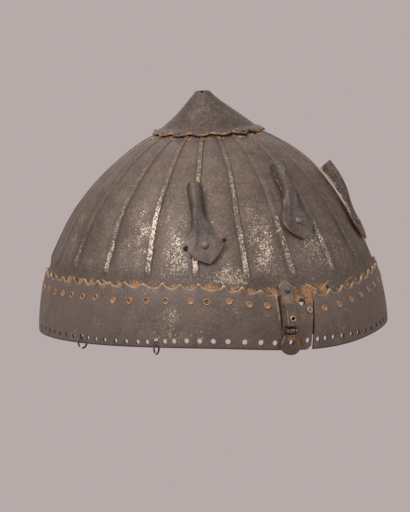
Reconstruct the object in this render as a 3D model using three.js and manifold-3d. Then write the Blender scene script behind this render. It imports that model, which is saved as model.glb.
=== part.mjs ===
import * as THREE from 'three';
import { mergeVertices } from 'three/addons/utils/BufferGeometryUtils.js';
import loadManifold from 'manifold-3d';

const wasm = await loadManifold();
wasm.setup();

// Millimetres. The rim lies at height zero, +Z is up, the front of the helmet looks along -Y.
// A place on the wall is a turn round from the front (towards +X), a height and a lift off the skin.

// Bowl
const bowlHalfWidth = 109.75;
const bowlHalfLength = 120.2;
const bowlHeight = 133.6;
const bowlThickness = 1.4;
const bowlEdgeHeight = 10.5;
const bowlFullness = 1.828;
const bowlStretchPower = 3;
const crownLean = 2.6;
const crownLeanTurn = 57;
const leanStartHeight = 72;
const leanFullHeight = 112;

// Ribs standing on the bowl
const ribCount = 21;
const ribFirstTurn = -5.7;
const ribHalfWidth = 1.7;
const ribSlopeWidth = 0.9;
const ribHeight = 1;
const ribTopHeight = 0.45;
const ribEndGap = 2;
const ribFadeLength = 7;
const ribbedRowCount = 5;
const ribTopWidthShare = 0.62;
const ribCrowdShare = 0.26;

// Gap left between pieces that lie on one another
const seatGap = 0.3;
const cutOverrun = 3;
const punchLength = 80;

// Small steps with which slopes of the wall are measured and followed
const probeTurn = 0.001;
const walkSteps = 24;

// Brim band, one strip open at the front
const bandThickness = 1.5;
const bandHeight = 37.5;
const bandStartTurn = 0.1;
const bandStartSlant = 2.5;
const bandEndTurn = 346.4;
const bandEndSlant = 0.6;
const scallopCount = 54;
const scallopHeight = 2.8;
const bandMiddleHeight = 24;
const bandKneeHeight = 33;
// Each scallop's points: share of its width, share of its height
const scallopShares = [
  [0, 0.22],
  [0.14, 1],
  [0.3, 0.25],
  [0.65, 0],
];

// Dip of the rim and the band at the front
const rimDrop = 6.2;
const bandTopDrop = 10.5;
const dropCentreTurn = 3;
const dropSpreadTurn = 22;
const dropFadeLength = 30;

// Hollow-headed rivets of the band
const bandRivetShare = 0.42;
const bandRivetHeight = 29.5;
const bandRivetHeadRadius = 2.15;
const bandRivetHeadHeight = 0.7;
const shankRadius = 1;
const tailRadius = 1.75;
const tailHeight = 0.5;
const squareSides = 4;
const bandRivetSides = 7;
const rivetSides = 6;
const largeRivetSides = 8;

// Mail holes along the rim
const mailHoleRadius = 1.7;
const mailHoleHeight = 4.4;
// Turns of the unevenly spaced holes on either side of the front, and the even ones between them
const leftMailTurns = [-0.3, 2.7, 6.1, 10, 14.6, 18.3, 22.5, 26.8, 31];
const rightMailTurns = [
  277.7, 280.5, 284, 287.8, 292.1, 296, 300.1, 303.3, 306.3, 309.2,
  312.2, 316.2, 320.3, 324.6, 329.2, 334.5, 339.7, 344.3,
];
const evenMailCount = 60;
const mailHoleSides = 6;

// Apex plate
const apexRise = 19.9;
const apexTopHeight = bowlHeight + apexRise;
const apexTopRadius = 4.9;
const apexThickness = 1.3;
const apexBendRadius = 31;
const apexTroughRadius = 33.5;
const apexLobeDepth = 3.3;
const apexLobeCount = 15;
const apexConcavity = 1.15;
const apexFirstTurn = 6;
const apexRowCount = 4;
const apexColumnCount = 30;
// Each lobe's points: share of its width, share of its depth
const lobeShares = [
  [0, 1],
  [0.22, 0.72],
  [0.5, 0],
  [0.78, 0.72],
];
const apexRivetStep = 3;
const apexRivetHeadRadius = 1.15;
const apexRivetHeadHeight = 0.35;
const apexRivetShankRadius = 0.65;
const apexRivetTailRadius = 1.1;

// Front plate between the band's ends
const frontPlateHeight = 35.6;
const frontPlateStartTurn = -12.4;
const frontPlateEndTurn = -0.5;
const frontPlateSlant = 2.7;
const frontPlateColumnCount = 7;
const frontPlateCornerRise = 2.4;
const frontHoleTurn = -4.8;
const frontHoleHeight = 24.2;
const frontHoleRadius = 2.3;
const frontRivetTurn = -2.6;
const frontRivetHeight = 27.5;
const plugTurn = -6.2;
const frontMailTurns = [-10.4, -6.2, -4.2];
const plugHeadRadius = 1.85;
const frontHoleSides = 12;

// Hinged fitting on the front plate
const fittingTurn = -10.4;
const strapTopHeight = 37.6;
const strapHalfWidth = 4.9;
const strapWaistHalfWidth = 4;
const strapThickness = 1.4;
const strapJogHeight = 30.3;
const strapJogLength = 2.2;
const strapRivetHeight = 33.1;
const strapRivetHeadRadius = 2.2;
const strapEndSteps = 4;
const strapEndTurn = 84;
const boxBottomHeight = 9.4;
const boxTopHeight = 23.4;
const boxHalfWidth = 3.7;
const boxDepth = 6.2;
const boxWall = 1.3;
const eyeletHeight = 14;
const eyeletFlangeRadius = 2.1;
const eyeletBoreRadius = 1.1;
const eyeletWall = 0.45;
const eyeletFlangeHeight = 0.45;
const eyeletSides = 10;
const hingeHeight = 7.1;
const barrelRadius = 1.9;
const barrelHalfLength = 1.8;
const outerBarrelLength = 1.7;
const pinRadius = 0.75;
const pinHeadRadius = 1.3;
const pinHeadLength = 0.5;
const barrelSides = 10;
const leafBottomHeight = -8.1;
const leafTopHalfWidth = 4.2;
const leafHalfWidth = 6.3;
const leafThickness = 1.3;
const leafEndSteps = 5;
const leafEndTurn = 80;
const leafHoleRadius = 1.65;
const leafStandOff = 0.4;

// Plume holders: turn, tip height and lean for each
const leftTipHeight = 50;
const centreTipHeight = 60.9;
const rightTipHeight = 53.1;
const plumeHolders = [
  { name: 'plume_holder_left', turn: -35, tipHeight: leftTipHeight, lean: -10 },
  { name: 'plume_holder_centre', turn: 2.4, tipHeight: centreTipHeight, lean: 2.7 },
  { name: 'plume_holder_right', turn: 46.3, tipHeight: rightTipHeight, lean: 2.7 },
];
const plumeLength = 54;
const plumeLeafHalfWidth = 11.3;
const plumeTubeHalfWidth = 5.1;
const plumeTubeShare = plumeTubeHalfWidth / plumeLeafHalfWidth;
const plumeTubeDepth = 9.2;
const plumeThickness = 1.2;
const plumeRivetShare = 0.235;
const plumeRivetHeadRadius = 2.5;
const plumeRivetHeadHeight = 1.3;
const plumeRivetShoulderShare = 0.6;
const plumeSectionSteps = 6;
// Shares of the length, of the way out to the leaf's half width, and of the depth of the tube
const plumeStationShares = [
  [0, 0.05, 0],
  [0.05, 0.4, 0],
  [0.14, 0.82, 0],
  [0.235, 1, 0],
  [0.33, 0.9, 0.02],
  [0.43, 0.68, 0.16],
  [0.53, 0.5, 0.42],
  [0.64, plumeTubeShare, 0.66],
  [0.8, plumeTubeShare, 0.86],
  [1, plumeTubeShare, 1],
];

// Empty fixing holes in the bowl beside the left holder's leaf
const wideBareHoleRadius = 1.9;
const wideBareHoleHeight = 60.8;
const smallBareHoleRadius = 1.4;
const smallBareHoleHeight = 64.8;
const bareHoles = [
  { turn: -43, height: wideBareHoleHeight, radius: wideBareHoleRadius },
  { turn: -29.2, height: smallBareHoleHeight, radius: smallBareHoleRadius },
];

// Mail links left hanging in two of the rim holes
const rearLinkRadius = 3.4;
const frontLinkRadius = 3.9;
const linkWireRadius = 0.58;
const links = [
  { name: 'mail_link_rear', hole: 69, ringRadius: rearLinkRadius, gapTurn: 34 },
  { name: 'mail_link_front', hole: 77, ringRadius: frontLinkRadius, gapTurn: 26 },
];
const linkGapLean = 60;
const linkSteps = 13;
const linkSides = 6;

const iron = { color: 0x5f554e, roughness: 0.62, metalness: 0.85 };
const paleIron = { color: 0x6f6a68, roughness: 0.5, metalness: 0.9 };
const darkIron = { color: 0x4f4640, roughness: 0.7, metalness: 0.8 };
const rustyBrass = { color: 0xa8763e, roughness: 0.55, metalness: 0.85 };

const radians = THREE.MathUtils.degToRad;
const helmet = new THREE.Group();

function addPiece(name, geometry, finish) {
  geometry.computeVertexNormals();
  const mesh = new THREE.Mesh(geometry, new THREE.MeshStandardMaterial(finish));
  mesh.name = name;
  helmet.add(mesh);
  return mesh;
}

// The wall's form: a superellipse from rim to crown, drawn out lengthways towards the rim
function planPoint(turn, halfWidth, height) {
  const stretch = (bowlHalfLength - bowlHalfWidth) * (halfWidth / bowlHalfWidth) ** bowlStretchPower;
  const lean = leanAtHeight(height);
  const across = halfWidth * Math.sin(turn) + lean * Math.sin(radians(crownLeanTurn));
  const along = -(halfWidth + stretch) * Math.cos(turn) - lean * Math.cos(radians(crownLeanTurn));
  return new THREE.Vector3(across, along, height);
}

// The crown stands a little to one side, and the apex plate brings its top back to the middle
function leanAtHeight(height) {
  const rise = THREE.MathUtils.smoothstep(height, leanStartHeight, leanFullHeight);
  const fall = THREE.MathUtils.smoothstep(height, bowlHeight, apexTopHeight);
  return crownLean * rise * (1 - fall);
}

function climbPoint(turn, climb) {
  const height = bowlHeight * Math.max(Math.sin(climb), 0) ** (2 / bowlFullness);
  return planPoint(turn, bowlHalfWidth * Math.cos(climb), height);
}

function climbAtHeight(height) {
  const share = Math.min(Math.max(height / bowlHeight, 0), 1);
  return Math.asin(share ** (bowlFullness / 2));
}

function climbAtHalfWidth(halfWidth) {
  return Math.acos(halfWidth / bowlHalfWidth);
}

function climbNormal(turn, climb) {
  const step = 1e-4;
  const here = climbPoint(turn, climb);
  const round = climbPoint(turn + step, climb).sub(here);
  const up = climbPoint(turn, climb + step).sub(here);
  const normal = round.cross(up).normalize();
  return normal.lengthSq() > 0.5 ? normal : new THREE.Vector3(0, 0, 1);
}

function climbSkin(turn, climb, lift) {
  return climbPoint(turn, climb).addScaledVector(climbNormal(turn, climb), lift);
}

function skin(turn, height, lift) {
  const point = climbSkin(turn, climbAtHeight(height), lift);
  point.z += Math.min(height, 0);
  return point;
}

function skinNormal(turn, height) {
  return climbNormal(turn, climbAtHeight(height));
}

// How far the rim and the band sink at the front
function sunkHeight(turn, height) {
  const offset = turn - radians(dropCentreTurn);
  const away = Math.atan2(Math.sin(offset), Math.cos(offset));
  const nearness = Math.exp(-0.5 * (away / radians(dropSpreadTurn)) ** 2);
  const inBand = THREE.MathUtils.lerp(rimDrop, bandTopDrop, Math.min(height / bandHeight, 1));
  const above = Math.max(1 - Math.max(height - bandHeight, 0) / dropFadeLength, 0);
  return height - nearness * inBand * above;
}

function wall(turn, height, lift) {
  return skin(turn, sunkHeight(turn, height), lift);
}

// Joins two rows of points that may differ in number, in the order of their turns
function stitch(lower, upper, closed) {
  const triangles = [];
  const at = (row, order) => {
    const lap = Math.floor(order / row.length);
    const entry = row[order % row.length];
    return { id: entry.id, turn: entry.turn + lap * 2 * Math.PI };
  };
  const lowerSteps = closed ? lower.length : lower.length - 1;
  const upperSteps = closed ? upper.length : upper.length - 1;
  let low = 0;
  let high = 0;
  while (low < lowerSteps || high < upperSteps) {
    const lowTurn = at(lower, low + 1).turn + at(lower, low).turn;
    const highTurn = at(upper, high + 1).turn + at(upper, high).turn;
    if (high >= upperSteps || (low < lowerSteps && lowTurn <= highTurn)) {
      triangles.push([at(lower, low).id, at(lower, low + 1).id, at(upper, high).id]);
      low += 1;
    } else {
      triangles.push([at(lower, low).id, at(upper, high + 1).id, at(upper, high).id]);
      high += 1;
    }
  }
  return triangles;
}

function turnedRound(triangles) {
  return triangles.map(([a, b, c]) => [a, c, b]);
}

function numbered(rows, points) {
  return rows.map((row) => row.map((entry) => ({ turn: entry.turn, id: points.push(entry.point) - 1 })));
}

// A bent sheet between an outer and an inner set of rows, from the bottom edge to the top edge
function sheet(outerRows, innerRows, closed) {
  const points = [];
  const outer = numbered(outerRows, points);
  const inner = numbered(innerRows, points);
  const triangles = [];
  for (let row = 0; row < outer.length - 1; row += 1) {
    triangles.push(...stitch(outer[row], outer[row + 1], closed));
    triangles.push(...turnedRound(stitch(inner[row], inner[row + 1], closed)));
  }
  triangles.push(...stitch(outer.at(-1), inner.at(-1), closed));
  triangles.push(...stitch(inner[0], outer[0], closed));
  if (!closed) {
    for (let row = 0; row < outer.length - 1; row += 1) {
      triangles.push(...endQuad(outer, inner, row, (entries) => entries[0]));
      triangles.push(...turnedRound(endQuad(outer, inner, row, (entries) => entries.at(-1))));
    }
  }
  return toSolid(closedGeometry(points, triangles));
}

function endQuad(outer, inner, row, pick) {
  const rows = [outer[row], outer[row + 1], inner[row + 1], inner[row]];
  const corners = rows.map((entries) => pick(entries).id);
  return [
    [corners[0], corners[1], corners[2]],
    [corners[0], corners[2], corners[3]],
  ];
}

// A solid dome from rows of points, with a flat-fanned foot and a crown point
function dome(rows, crown) {
  const points = [];
  const rings = numbered(rows, points);
  const triangles = [];
  for (let ring = 0; ring < rings.length - 1; ring += 1) {
    triangles.push(...stitch(rings[ring], rings[ring + 1], true));
  }
  const foot = new THREE.Vector3();
  rows[0].forEach((entry) => foot.addScaledVector(entry.point, 1 / rows[0].length));
  triangles.push(...fan(rings[0], points.push(foot) - 1, true));
  triangles.push(...fan(rings.at(-1), points.push(crown) - 1, false));
  return toSolid(closedGeometry(points, triangles));
}

function fan(ring, hub, under) {
  const triangles = ring.map((entry, order) => [entry.id, ring[(order + 1) % ring.length].id, hub]);
  return under ? turnedRound(triangles) : triangles;
}

// A solid from rings of points that all have the same number, with a fan at each end
function joinRings(rings) {
  const points = rings.flat();
  const count = rings[0].length;
  const triangles = [];
  for (let ring = 0; ring < rings.length - 1; ring += 1) {
    const lower = ring * count;
    const upper = lower + count;
    for (let side = 0; side < count; side += 1) {
      const next = (side + 1) % count;
      triangles.push([lower + side, lower + next, upper + next]);
      triangles.push([lower + side, upper + next, upper + side]);
    }
  }
  addFan(points, triangles, rings[0], 0, true);
  addFan(points, triangles, rings.at(-1), (rings.length - 1) * count, false);
  return toSolid(closedGeometry(points, triangles));
}

function addFan(points, triangles, ring, first, under) {
  const centre = new THREE.Vector3();
  ring.forEach((point) => centre.addScaledVector(point, 1 / ring.length));
  const hub = points.push(centre) - 1;
  ring.forEach((point, side) => {
    const here = first + side;
    const next = first + ((side + 1) % ring.length);
    triangles.push(under ? [next, here, hub] : [here, next, hub]);
  });
}

// A sheet from sections across it: each section runs along the outer face and back along the inner
function joinSheet(sections) {
  const points = sections.flat();
  const count = sections[0].length;
  const triangles = [];
  for (let column = 0; column < sections.length - 1; column += 1) {
    for (let side = 0; side < count; side += 1) {
      const next = (side + 1) % count;
      const here = column * count;
      const there = here + count;
      triangles.push([here + side, here + next, there + next]);
      triangles.push([here + side, there + next, there + side]);
    }
  }
  const last = (sections.length - 1) * count;
  for (let side = 0; side < count / 2 - 1; side += 1) {
    const mirror = count - 1 - side;
    triangles.push([side + 1, side, mirror]);
    triangles.push([side + 1, mirror, mirror - 1]);
    triangles.push([last + side, last + side + 1, last + mirror]);
    triangles.push([last + side + 1, last + mirror - 1, last + mirror]);
  }
  return toSolid(closedGeometry(points, triangles));
}

function closedGeometry(points, triangles) {
  let volume = 0;
  const cross = new THREE.Vector3();
  triangles.forEach(([a, b, c]) => {
    volume += cross.crossVectors(points[b], points[c]).dot(points[a]);
  });
  const faces = volume > 0 ? triangles : triangles.map(([a, b, c]) => [a, c, b]);
  const geometry = new THREE.BufferGeometry();
  const positions = new Float32Array(points.flatMap((point) => point.toArray()));
  geometry.setAttribute('position', new THREE.BufferAttribute(positions, 3));
  geometry.setIndex(faces.flat());
  return geometry;
}

function toSolid(source) {
  const bare = new THREE.BufferGeometry();
  bare.setAttribute('position', source.getAttribute('position'));
  bare.setIndex(source.getIndex());
  const merged = mergeVertices(bare, 1e-4);
  const index = merged.getIndex().array;
  const whole = [];
  for (let corner = 0; corner < index.length; corner += 3) {
    const [a, b, c] = index.slice(corner, corner + 3);
    if (a !== b && b !== c && c !== a) {
      whole.push(a, b, c);
    }
  }
  const mesh = new wasm.Mesh({
    numProp: 3,
    vertProperties: new Float32Array(merged.getAttribute('position').array),
    triVerts: new Uint32Array(whole),
  });
  return new wasm.Manifold(mesh);
}

function toGeometry(solid) {
  const mesh = solid.getMesh();
  const geometry = new THREE.BufferGeometry();
  geometry.setAttribute('position', new THREE.BufferAttribute(new Float32Array(mesh.vertProperties), 3));
  geometry.setIndex(new THREE.BufferAttribute(new Uint32Array(mesh.triVerts), 1));
  return geometry;
}

// A turned solid on its own axis: profile rows are radius and distance along the direction
function turned(profile, sides, place, direction) {
  const outline = profile.map(([radius, along]) => new THREE.Vector2(radius, along));
  const geometry = new THREE.LatheGeometry(outline, sides);
  const toDirection = new THREE.Quaternion().setFromUnitVectors(new THREE.Vector3(0, 1, 0), direction);
  geometry.applyQuaternion(toDirection);
  geometry.translate(place.x, place.y, place.z);
  const solid = toSolid(geometry);
  return solid.volume() > 0 ? solid : toSolid(flipped(geometry));
}

function flipped(geometry) {
  const index = geometry.getIndex().array;
  for (let corner = 0; corner < index.length; corner += 3) {
    [index[corner], index[corner + 1]] = [index[corner + 1], index[corner]];
  }
  return geometry;
}

// A punched hole, square to the wall: its sides run together far inside, so it tapers very slightly
function punched(turn, height, radius, sides) {
  const reach = bandThickness + plumeThickness + ribHeight + cutOverrun;
  const mouthRadius = radius * (1 + reach / punchLength);
  const profile = [[0, -punchLength], [mouthRadius, reach], [0, reach]];
  return turned(profile, sides, skin(turn, height, 0), skinNormal(turn, height));
}

// A rivet through the wall: its head at headLift, its tail just inside the bowl
function wallRivet(turn, height, shape) {
  const tailLift = shape.tailLift ?? -(bowlThickness + seatGap + innerSag(height));
  const topLift = shape.headLift + shape.headHeight;
  const shoulder = shape.shoulderShare ? [[shape.headRadius * shape.shoulderShare, topLift]] : [];
  const profile = [
    [0, tailLift - tailHeight],
    [shape.tailRadius, tailLift],
    [shape.shankRadius, tailLift],
    [shape.shankRadius, shape.headLift],
    [shape.headRadius, shape.headLift],
    ...shoulder,
    [0, topLift],
  ];
  return turned(profile, shape.sides, skin(turn, height, 0), skinNormal(turn, height));
}

// Depth by which the flat facets of the bowl's inside stand in from the curve at a height
function innerSag(height) {
  const rows = innerHeights();
  const below = rows.findLast((row) => row <= height) ?? rows[0];
  const above = rows.find((row) => row > height) ?? bowlHeight;
  const upward = 1 - Math.cos((climbAtHeight(above) - climbAtHeight(below)) / 2);
  const widestFacetTurn = frontGapTurn / 2;
  const around = 1 - Math.cos(widestFacetTurn / 2);
  return bowlHalfLength * around + bowlHeight * upward;
}

function evenTurns(first, last, count) {
  const step = (last - first) / (count - 1);
  return Array.from({ length: count }, (unused, order) => radians(first + step * order));
}

const scallopPitch = (radians(bandEndTurn) - radians(bandStartTurn)) / scallopCount;
const frontGapTurn = 2 * Math.PI - radians(bandEndTurn) + radians(bandStartTurn);
const scallopTurns = Array.from({ length: scallopCount + 1 }, (unused, order) => {
  return radians(bandStartTurn) + scallopPitch * order;
});
const bandRivetTurns = Array.from({ length: scallopCount }, (unused, order) => {
  return radians(bandStartTurn) + scallopPitch * (order + bandRivetShare);
});
const mailStep = (rightMailTurns[0] - leftMailTurns.at(-1)) / (evenMailCount + 1);
const mailHoleTurns = [
  ...leftMailTurns.map(radians),
  ...evenTurns(leftMailTurns.at(-1) + mailStep, rightMailTurns[0] - mailStep, evenMailCount),
  ...rightMailTurns.map(radians),
];

// Bowl
function ribColumns(climb) {
  const spacing = (2 * Math.PI) / ribCount;
  const radius = Math.max(bowlHalfWidth * Math.cos(climb), ribHalfWidth);
  const narrowing = THREE.MathUtils.lerp(1, ribTopWidthShare, climb / (Math.PI / 2));
  const crowd = spacing * ribCrowdShare;
  const top = Math.min((ribHalfWidth * narrowing) / radius, crowd / 2);
  const foot = Math.min(((ribHalfWidth + ribSlopeWidth) * narrowing) / radius, crowd);
  const columns = [];
  for (let rib = 0; rib < ribCount; rib += 1) {
    const centre = radians(ribFirstTurn) + rib * spacing;
    columns.push({ turn: centre - foot, stand: 0 });
    columns.push({ turn: centre - top, stand: 1 });
    columns.push({ turn: centre + top, stand: 1 });
    columns.push({ turn: centre + foot, stand: 0 });
    columns.push({ turn: centre + spacing / 2, stand: 0 });
  }
  return columns;
}

// Columns of the plain wall: the edges of its facets lie between the band's rivets
function plainColumns() {
  const turns = [radians(bandStartTurn) - frontGapTurn / 2, ...scallopTurns];
  return turns.map((turn) => ({ turn, stand: 0 }));
}

function everySecond(columns) {
  return columns.filter((column, order) => order % 2 === 0);
}

function wallRow(columns, height, lift, stand) {
  return columns.map((column) => {
    return { turn: column.turn, point: wall(column.turn, height, lift + stand * column.stand) };
  });
}

function heightAtClimb(climb) {
  return bowlHeight * Math.sin(climb) ** (2 / bowlFullness);
}

function ribFootHeight() {
  return bandHeight + scallopHeight + ribEndGap;
}

// Heights of the rows that cross the ribs, and of the last one, hidden under the apex plate
function ribbedHeights() {
  const firstClimb = climbAtHeight(ribFootHeight() + ribFadeLength);
  const plateClimb = climbAtHalfWidth(apexTroughRadius);
  return Array.from({ length: ribbedRowCount + 1 }, (unused, row) => {
    return heightAtClimb(THREE.MathUtils.lerp(firstClimb, plateClimb, row / ribbedRowCount));
  });
}

function crownHeight() {
  return heightAtClimb(climbAtHalfWidth(apexBendRadius / 2));
}

function innerHeights() {
  return [bandMiddleHeight, bandKneeHeight, ...ribbedHeights(), crownHeight()];
}

function bowlOutside() {
  const plain = plainColumns();
  const plainHeights = [bowlEdgeHeight, bandMiddleHeight, bandKneeHeight];
  const rows = plainHeights.map((height) => wallRow(plain, height, 0, 0));
  rows.push(wallRow(ribColumns(climbAtHeight(ribFootHeight())), ribFootHeight(), 0, 0));
  ribbedHeights().forEach((height, row) => {
    const stand = THREE.MathUtils.lerp(ribHeight, ribTopHeight, (row / ribbedRowCount) ** 2);
    rows.push(wallRow(ribColumns(climbAtHeight(height)), height, 0, stand));
  });
  rows.push(wallRow(everySecond(plain), crownHeight(), 0, 0));
  return dome(rows, new THREE.Vector3(0, 0, bowlHeight));
}

function bowlInside() {
  const plain = plainColumns();
  const halfHeight = bowlHeight / 2;
  const rows = [bowlEdgeHeight - cutOverrun, ...innerHeights()].map((height) => {
    return wallRow(height > halfHeight ? everySecond(plain) : plain, height, -bowlThickness, 0);
  });
  return dome(rows, new THREE.Vector3(0, 0, bowlHeight - bowlThickness));
}

function plumeRivetSpot(holder) {
  return walkSkin(holder, plumeLength * plumeRivetShare);
}

function buildBowl() {
  const cuts = bandRivetTurns.map((turn) => {
    return punched(turn, sunkHeight(turn, bandRivetHeight), shankRadius + seatGap, squareSides);
  });
  bareHoles.forEach((hole) => {
    cuts.push(punched(radians(hole.turn), hole.height, hole.radius, largeRivetSides));
  });
  plumeHolders.forEach((holder) => {
    const spot = plumeRivetSpot(holder);
    cuts.push(punched(spot.turn, spot.height, shankRadius + seatGap, rivetSides));
  });
  apexRivetTurns().forEach((turn) => {
    cuts.push(punched(turn, apexRivetSeatHeight(), apexRivetShankRadius + seatGap, squareSides));
  });
  const frontTurn = radians(frontRivetTurn);
  cuts.push(punched(frontTurn, sunkHeight(frontTurn, frontRivetHeight), shankRadius + seatGap, rivetSides));
  cuts.push(punched(radians(frontHoleTurn), frontHoleHeight, frontHoleRadius, frontHoleSides));
  cuts.push(punched(radians(fittingTurn), strapRivetHeight, shankRadius + seatGap, rivetSides));
  const shell = bowlOutside().subtract(bowlInside());
  addPiece('bowl', toGeometry(shell.subtract(wasm.Manifold.union(cuts))), iron);
}

// Brim band
function bandRows(lift) {
  const start = radians(bandStartTurn);
  const end = radians(bandEndTurn);
  const slants = new Map([[start, -radians(bandStartSlant)], [end, radians(bandEndSlant)]]);
  const place = (turn, height) => {
    const leaned = turn + (slants.get(turn) ?? 0) * (1 - height / bandHeight);
    return { turn, point: wall(leaned, height, lift) };
  };
  const betweenHoles = mailHoleTurns.slice(1).map((turn, order) => (turn + mailHoleTurns[order]) / 2);
  const holeColumns = [start, ...betweenHoles, end];
  const top = [];
  scallopTurns.slice(0, -1).forEach((turn) => {
    scallopShares.forEach(([across, up]) => {
      top.push(place(turn + scallopPitch * across, bandHeight + scallopHeight * up));
    });
  });
  top.push(place(end, bandHeight + scallopHeight * scallopShares[0][1]));
  return [
    holeColumns.map((turn) => place(turn, 0)),
    holeColumns.map((turn) => place(turn, bowlEdgeHeight)),
    scallopTurns.map((turn) => place(turn, bandMiddleHeight)),
    scallopTurns.map((turn) => place(turn, bandKneeHeight)),
    top,
  ];
}

// A low-headed rivet whose root lies in the band and whose square shank runs through the bowl
function bandRivet(turn) {
  const height = sunkHeight(turn, bandRivetHeight);
  const place = skin(turn, height, 0);
  const direction = skinNormal(turn, height);
  const root = seatGap + bandThickness / 2;
  const top = seatGap + bandThickness + bandRivetHeadHeight;
  const rootRadius = (bandRivetHeadRadius * (top - root)) / bandRivetHeadHeight;
  const end = -(bowlThickness + innerSag(bandRivetHeight) + tailHeight);
  const head = turned([[0, root], [rootRadius, root], [0, top]], bandRivetSides, place, direction);
  const shankProfile = [[0, end], [shankRadius, end], [shankRadius, 0], [0, root]];
  const shank = turned(shankProfile, squareSides, place, direction);
  return [head, shank];
}

function mailHole(turn) {
  return punched(turn, sunkHeight(turn, mailHoleHeight), mailHoleRadius, mailHoleSides);
}

function buildBand() {
  const holes = wasm.Manifold.union(mailHoleTurns.map(mailHole));
  const whole = sheet(bandRows(seatGap + bandThickness), bandRows(seatGap), false);
  const rivets = bandRivetTurns.flatMap(bandRivet);
  addPiece('brim_band', toGeometry(wasm.Manifold.union([whole.subtract(holes), ...rivets])), iron);
}

// Front plate
function frontPlateSections() {
  const sections = [];
  const start = radians(frontPlateStartTurn);
  const end = radians(frontPlateEndTurn);
  for (let column = 0; column <= frontPlateColumnCount; column += 1) {
    const share = column / frontPlateColumnCount;
    const turn = THREE.MathUtils.lerp(start, end, share);
    const low = turn - radians(frontPlateSlant) * share;
    const bottom = column === frontPlateColumnCount ? frontPlateCornerRise : 0;
    const heights = [bottom, bowlEdgeHeight, bandMiddleHeight, frontPlateHeight];
    const turns = heights.map((height) => THREE.MathUtils.lerp(low, turn, height / frontPlateHeight));
    const outer = heights.map((height, row) => wall(turns[row], height, seatGap + bandThickness));
    const inner = heights.map((height, row) => wall(turns[row], height, seatGap));
    sections.push([...outer, ...inner.reverse()]);
  }
  return sections;
}

function buildFrontPlate() {
  const frontTurn = radians(frontRivetTurn);
  const rivetHeight = sunkHeight(frontTurn, frontRivetHeight);
  const holes = frontMailTurns.map((turn) => mailHole(radians(turn)));
  holes.push(punched(radians(frontHoleTurn), frontHoleHeight, frontHoleRadius, frontHoleSides));
  holes.push(punched(frontTurn, rivetHeight, shankRadius + seatGap, rivetSides));
  const plate = joinSheet(frontPlateSections()).subtract(wasm.Manifold.union(holes));
  addPiece('front_plate', toGeometry(plate), iron);
  const rivet = wallRivet(frontTurn, rivetHeight, {
    headLift: 2 * seatGap + bandThickness,
    headRadius: bandRivetHeadRadius,
    headHeight: bandRivetHeadHeight,
    shankRadius,
    tailRadius,
    sides: rivetSides,
  });
  addPiece('front_plate_rivet', toGeometry(rivet), rustyBrass);
  const turn = radians(plugTurn);
  const plug = wallRivet(turn, sunkHeight(turn, mailHoleHeight), {
    headLift: 2 * seatGap + bandThickness,
    tailLift: 0,
    headRadius: plugHeadRadius,
    headHeight: bandRivetHeadHeight,
    shankRadius: mailHoleRadius * Math.cos(Math.PI / mailHoleSides) - seatGap,
    tailRadius: plugHeadRadius,
    sides: rivetSides,
  });
  addPiece('front_plate_plug', toGeometry(plug), rustyBrass);
}

// Apex plate
function lobeEdge(share) {
  return apexTroughRadius + apexLobeDepth * share;
}

function skirtLift() {
  return ribTopHeight + seatGap;
}

function lobedRow(lift) {
  const row = [];
  for (let lobe = 0; lobe < apexLobeCount; lobe += 1) {
    lobeShares.forEach(([across, down]) => {
      const turn = radians(apexFirstTurn) + ((lobe + across) * 2 * Math.PI) / apexLobeCount;
      row.push({ turn, point: climbSkin(turn, climbAtHalfWidth(lobeEdge(down)), lift) });
    });
  }
  return row;
}

function roundRow(pointAt) {
  return Array.from({ length: apexColumnCount }, (unused, order) => {
    const turn = radians(apexFirstTurn) + (order * 2 * Math.PI) / apexColumnCount;
    return { turn, point: pointAt(turn) };
  });
}

function apexRows(lift, inset) {
  const bendHeight = climbPoint(0, climbAtHalfWidth(apexBendRadius)).z + skirtLift() + apexThickness;
  const rows = [lobedRow(lift)];
  rows.push(roundRow((turn) => climbSkin(turn, climbAtHalfWidth(apexBendRadius), lift)));
  for (let row = 1; row <= apexRowCount; row += 1) {
    const share = row / apexRowCount;
    const radius = apexTopRadius + (apexBendRadius - apexTopRadius) * (1 - share) ** apexConcavity;
    const height = THREE.MathUtils.lerp(bendHeight, apexTopHeight, share);
    rows.push(roundRow((turn) => planPoint(turn, radius - inset, height)));
  }
  return rows;
}

function buildApexPlate() {
  const lift = skirtLift();
  const shell = sheet(apexRows(lift + apexThickness, 0), apexRows(lift, apexThickness), true);
  const holes = apexRivetTurns().map((turn) => {
    return punched(turn, apexRivetSeatHeight(), apexRivetShankRadius + seatGap, squareSides);
  });
  addPiece('apex_plate', toGeometry(shell.subtract(wasm.Manifold.union(holes))), iron);
}

function apexRivetTurns() {
  const turns = [];
  for (let lobe = 0; lobe < apexLobeCount; lobe += apexRivetStep) {
    turns.push(radians(apexFirstTurn) + (lobe * 2 * Math.PI) / apexLobeCount);
  }
  return turns;
}

function apexRivetSeatHeight() {
  return climbPoint(0, climbAtHalfWidth((apexTroughRadius + lobeEdge(1)) / 2)).z;
}

function buildApexRivets() {
  apexRivetTurns().forEach((turn, order) => {
    const rivet = wallRivet(turn, apexRivetSeatHeight(), {
      headLift: skirtLift() + apexThickness + seatGap,
      headRadius: apexRivetHeadRadius,
      headHeight: apexRivetHeadHeight,
      shankRadius: apexRivetShankRadius,
      tailRadius: apexRivetTailRadius,
      sides: rivetSides,
    });
    addPiece(`apex_rivet_${order + 1}`, toGeometry(rivet), darkIron);
  });
}

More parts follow.
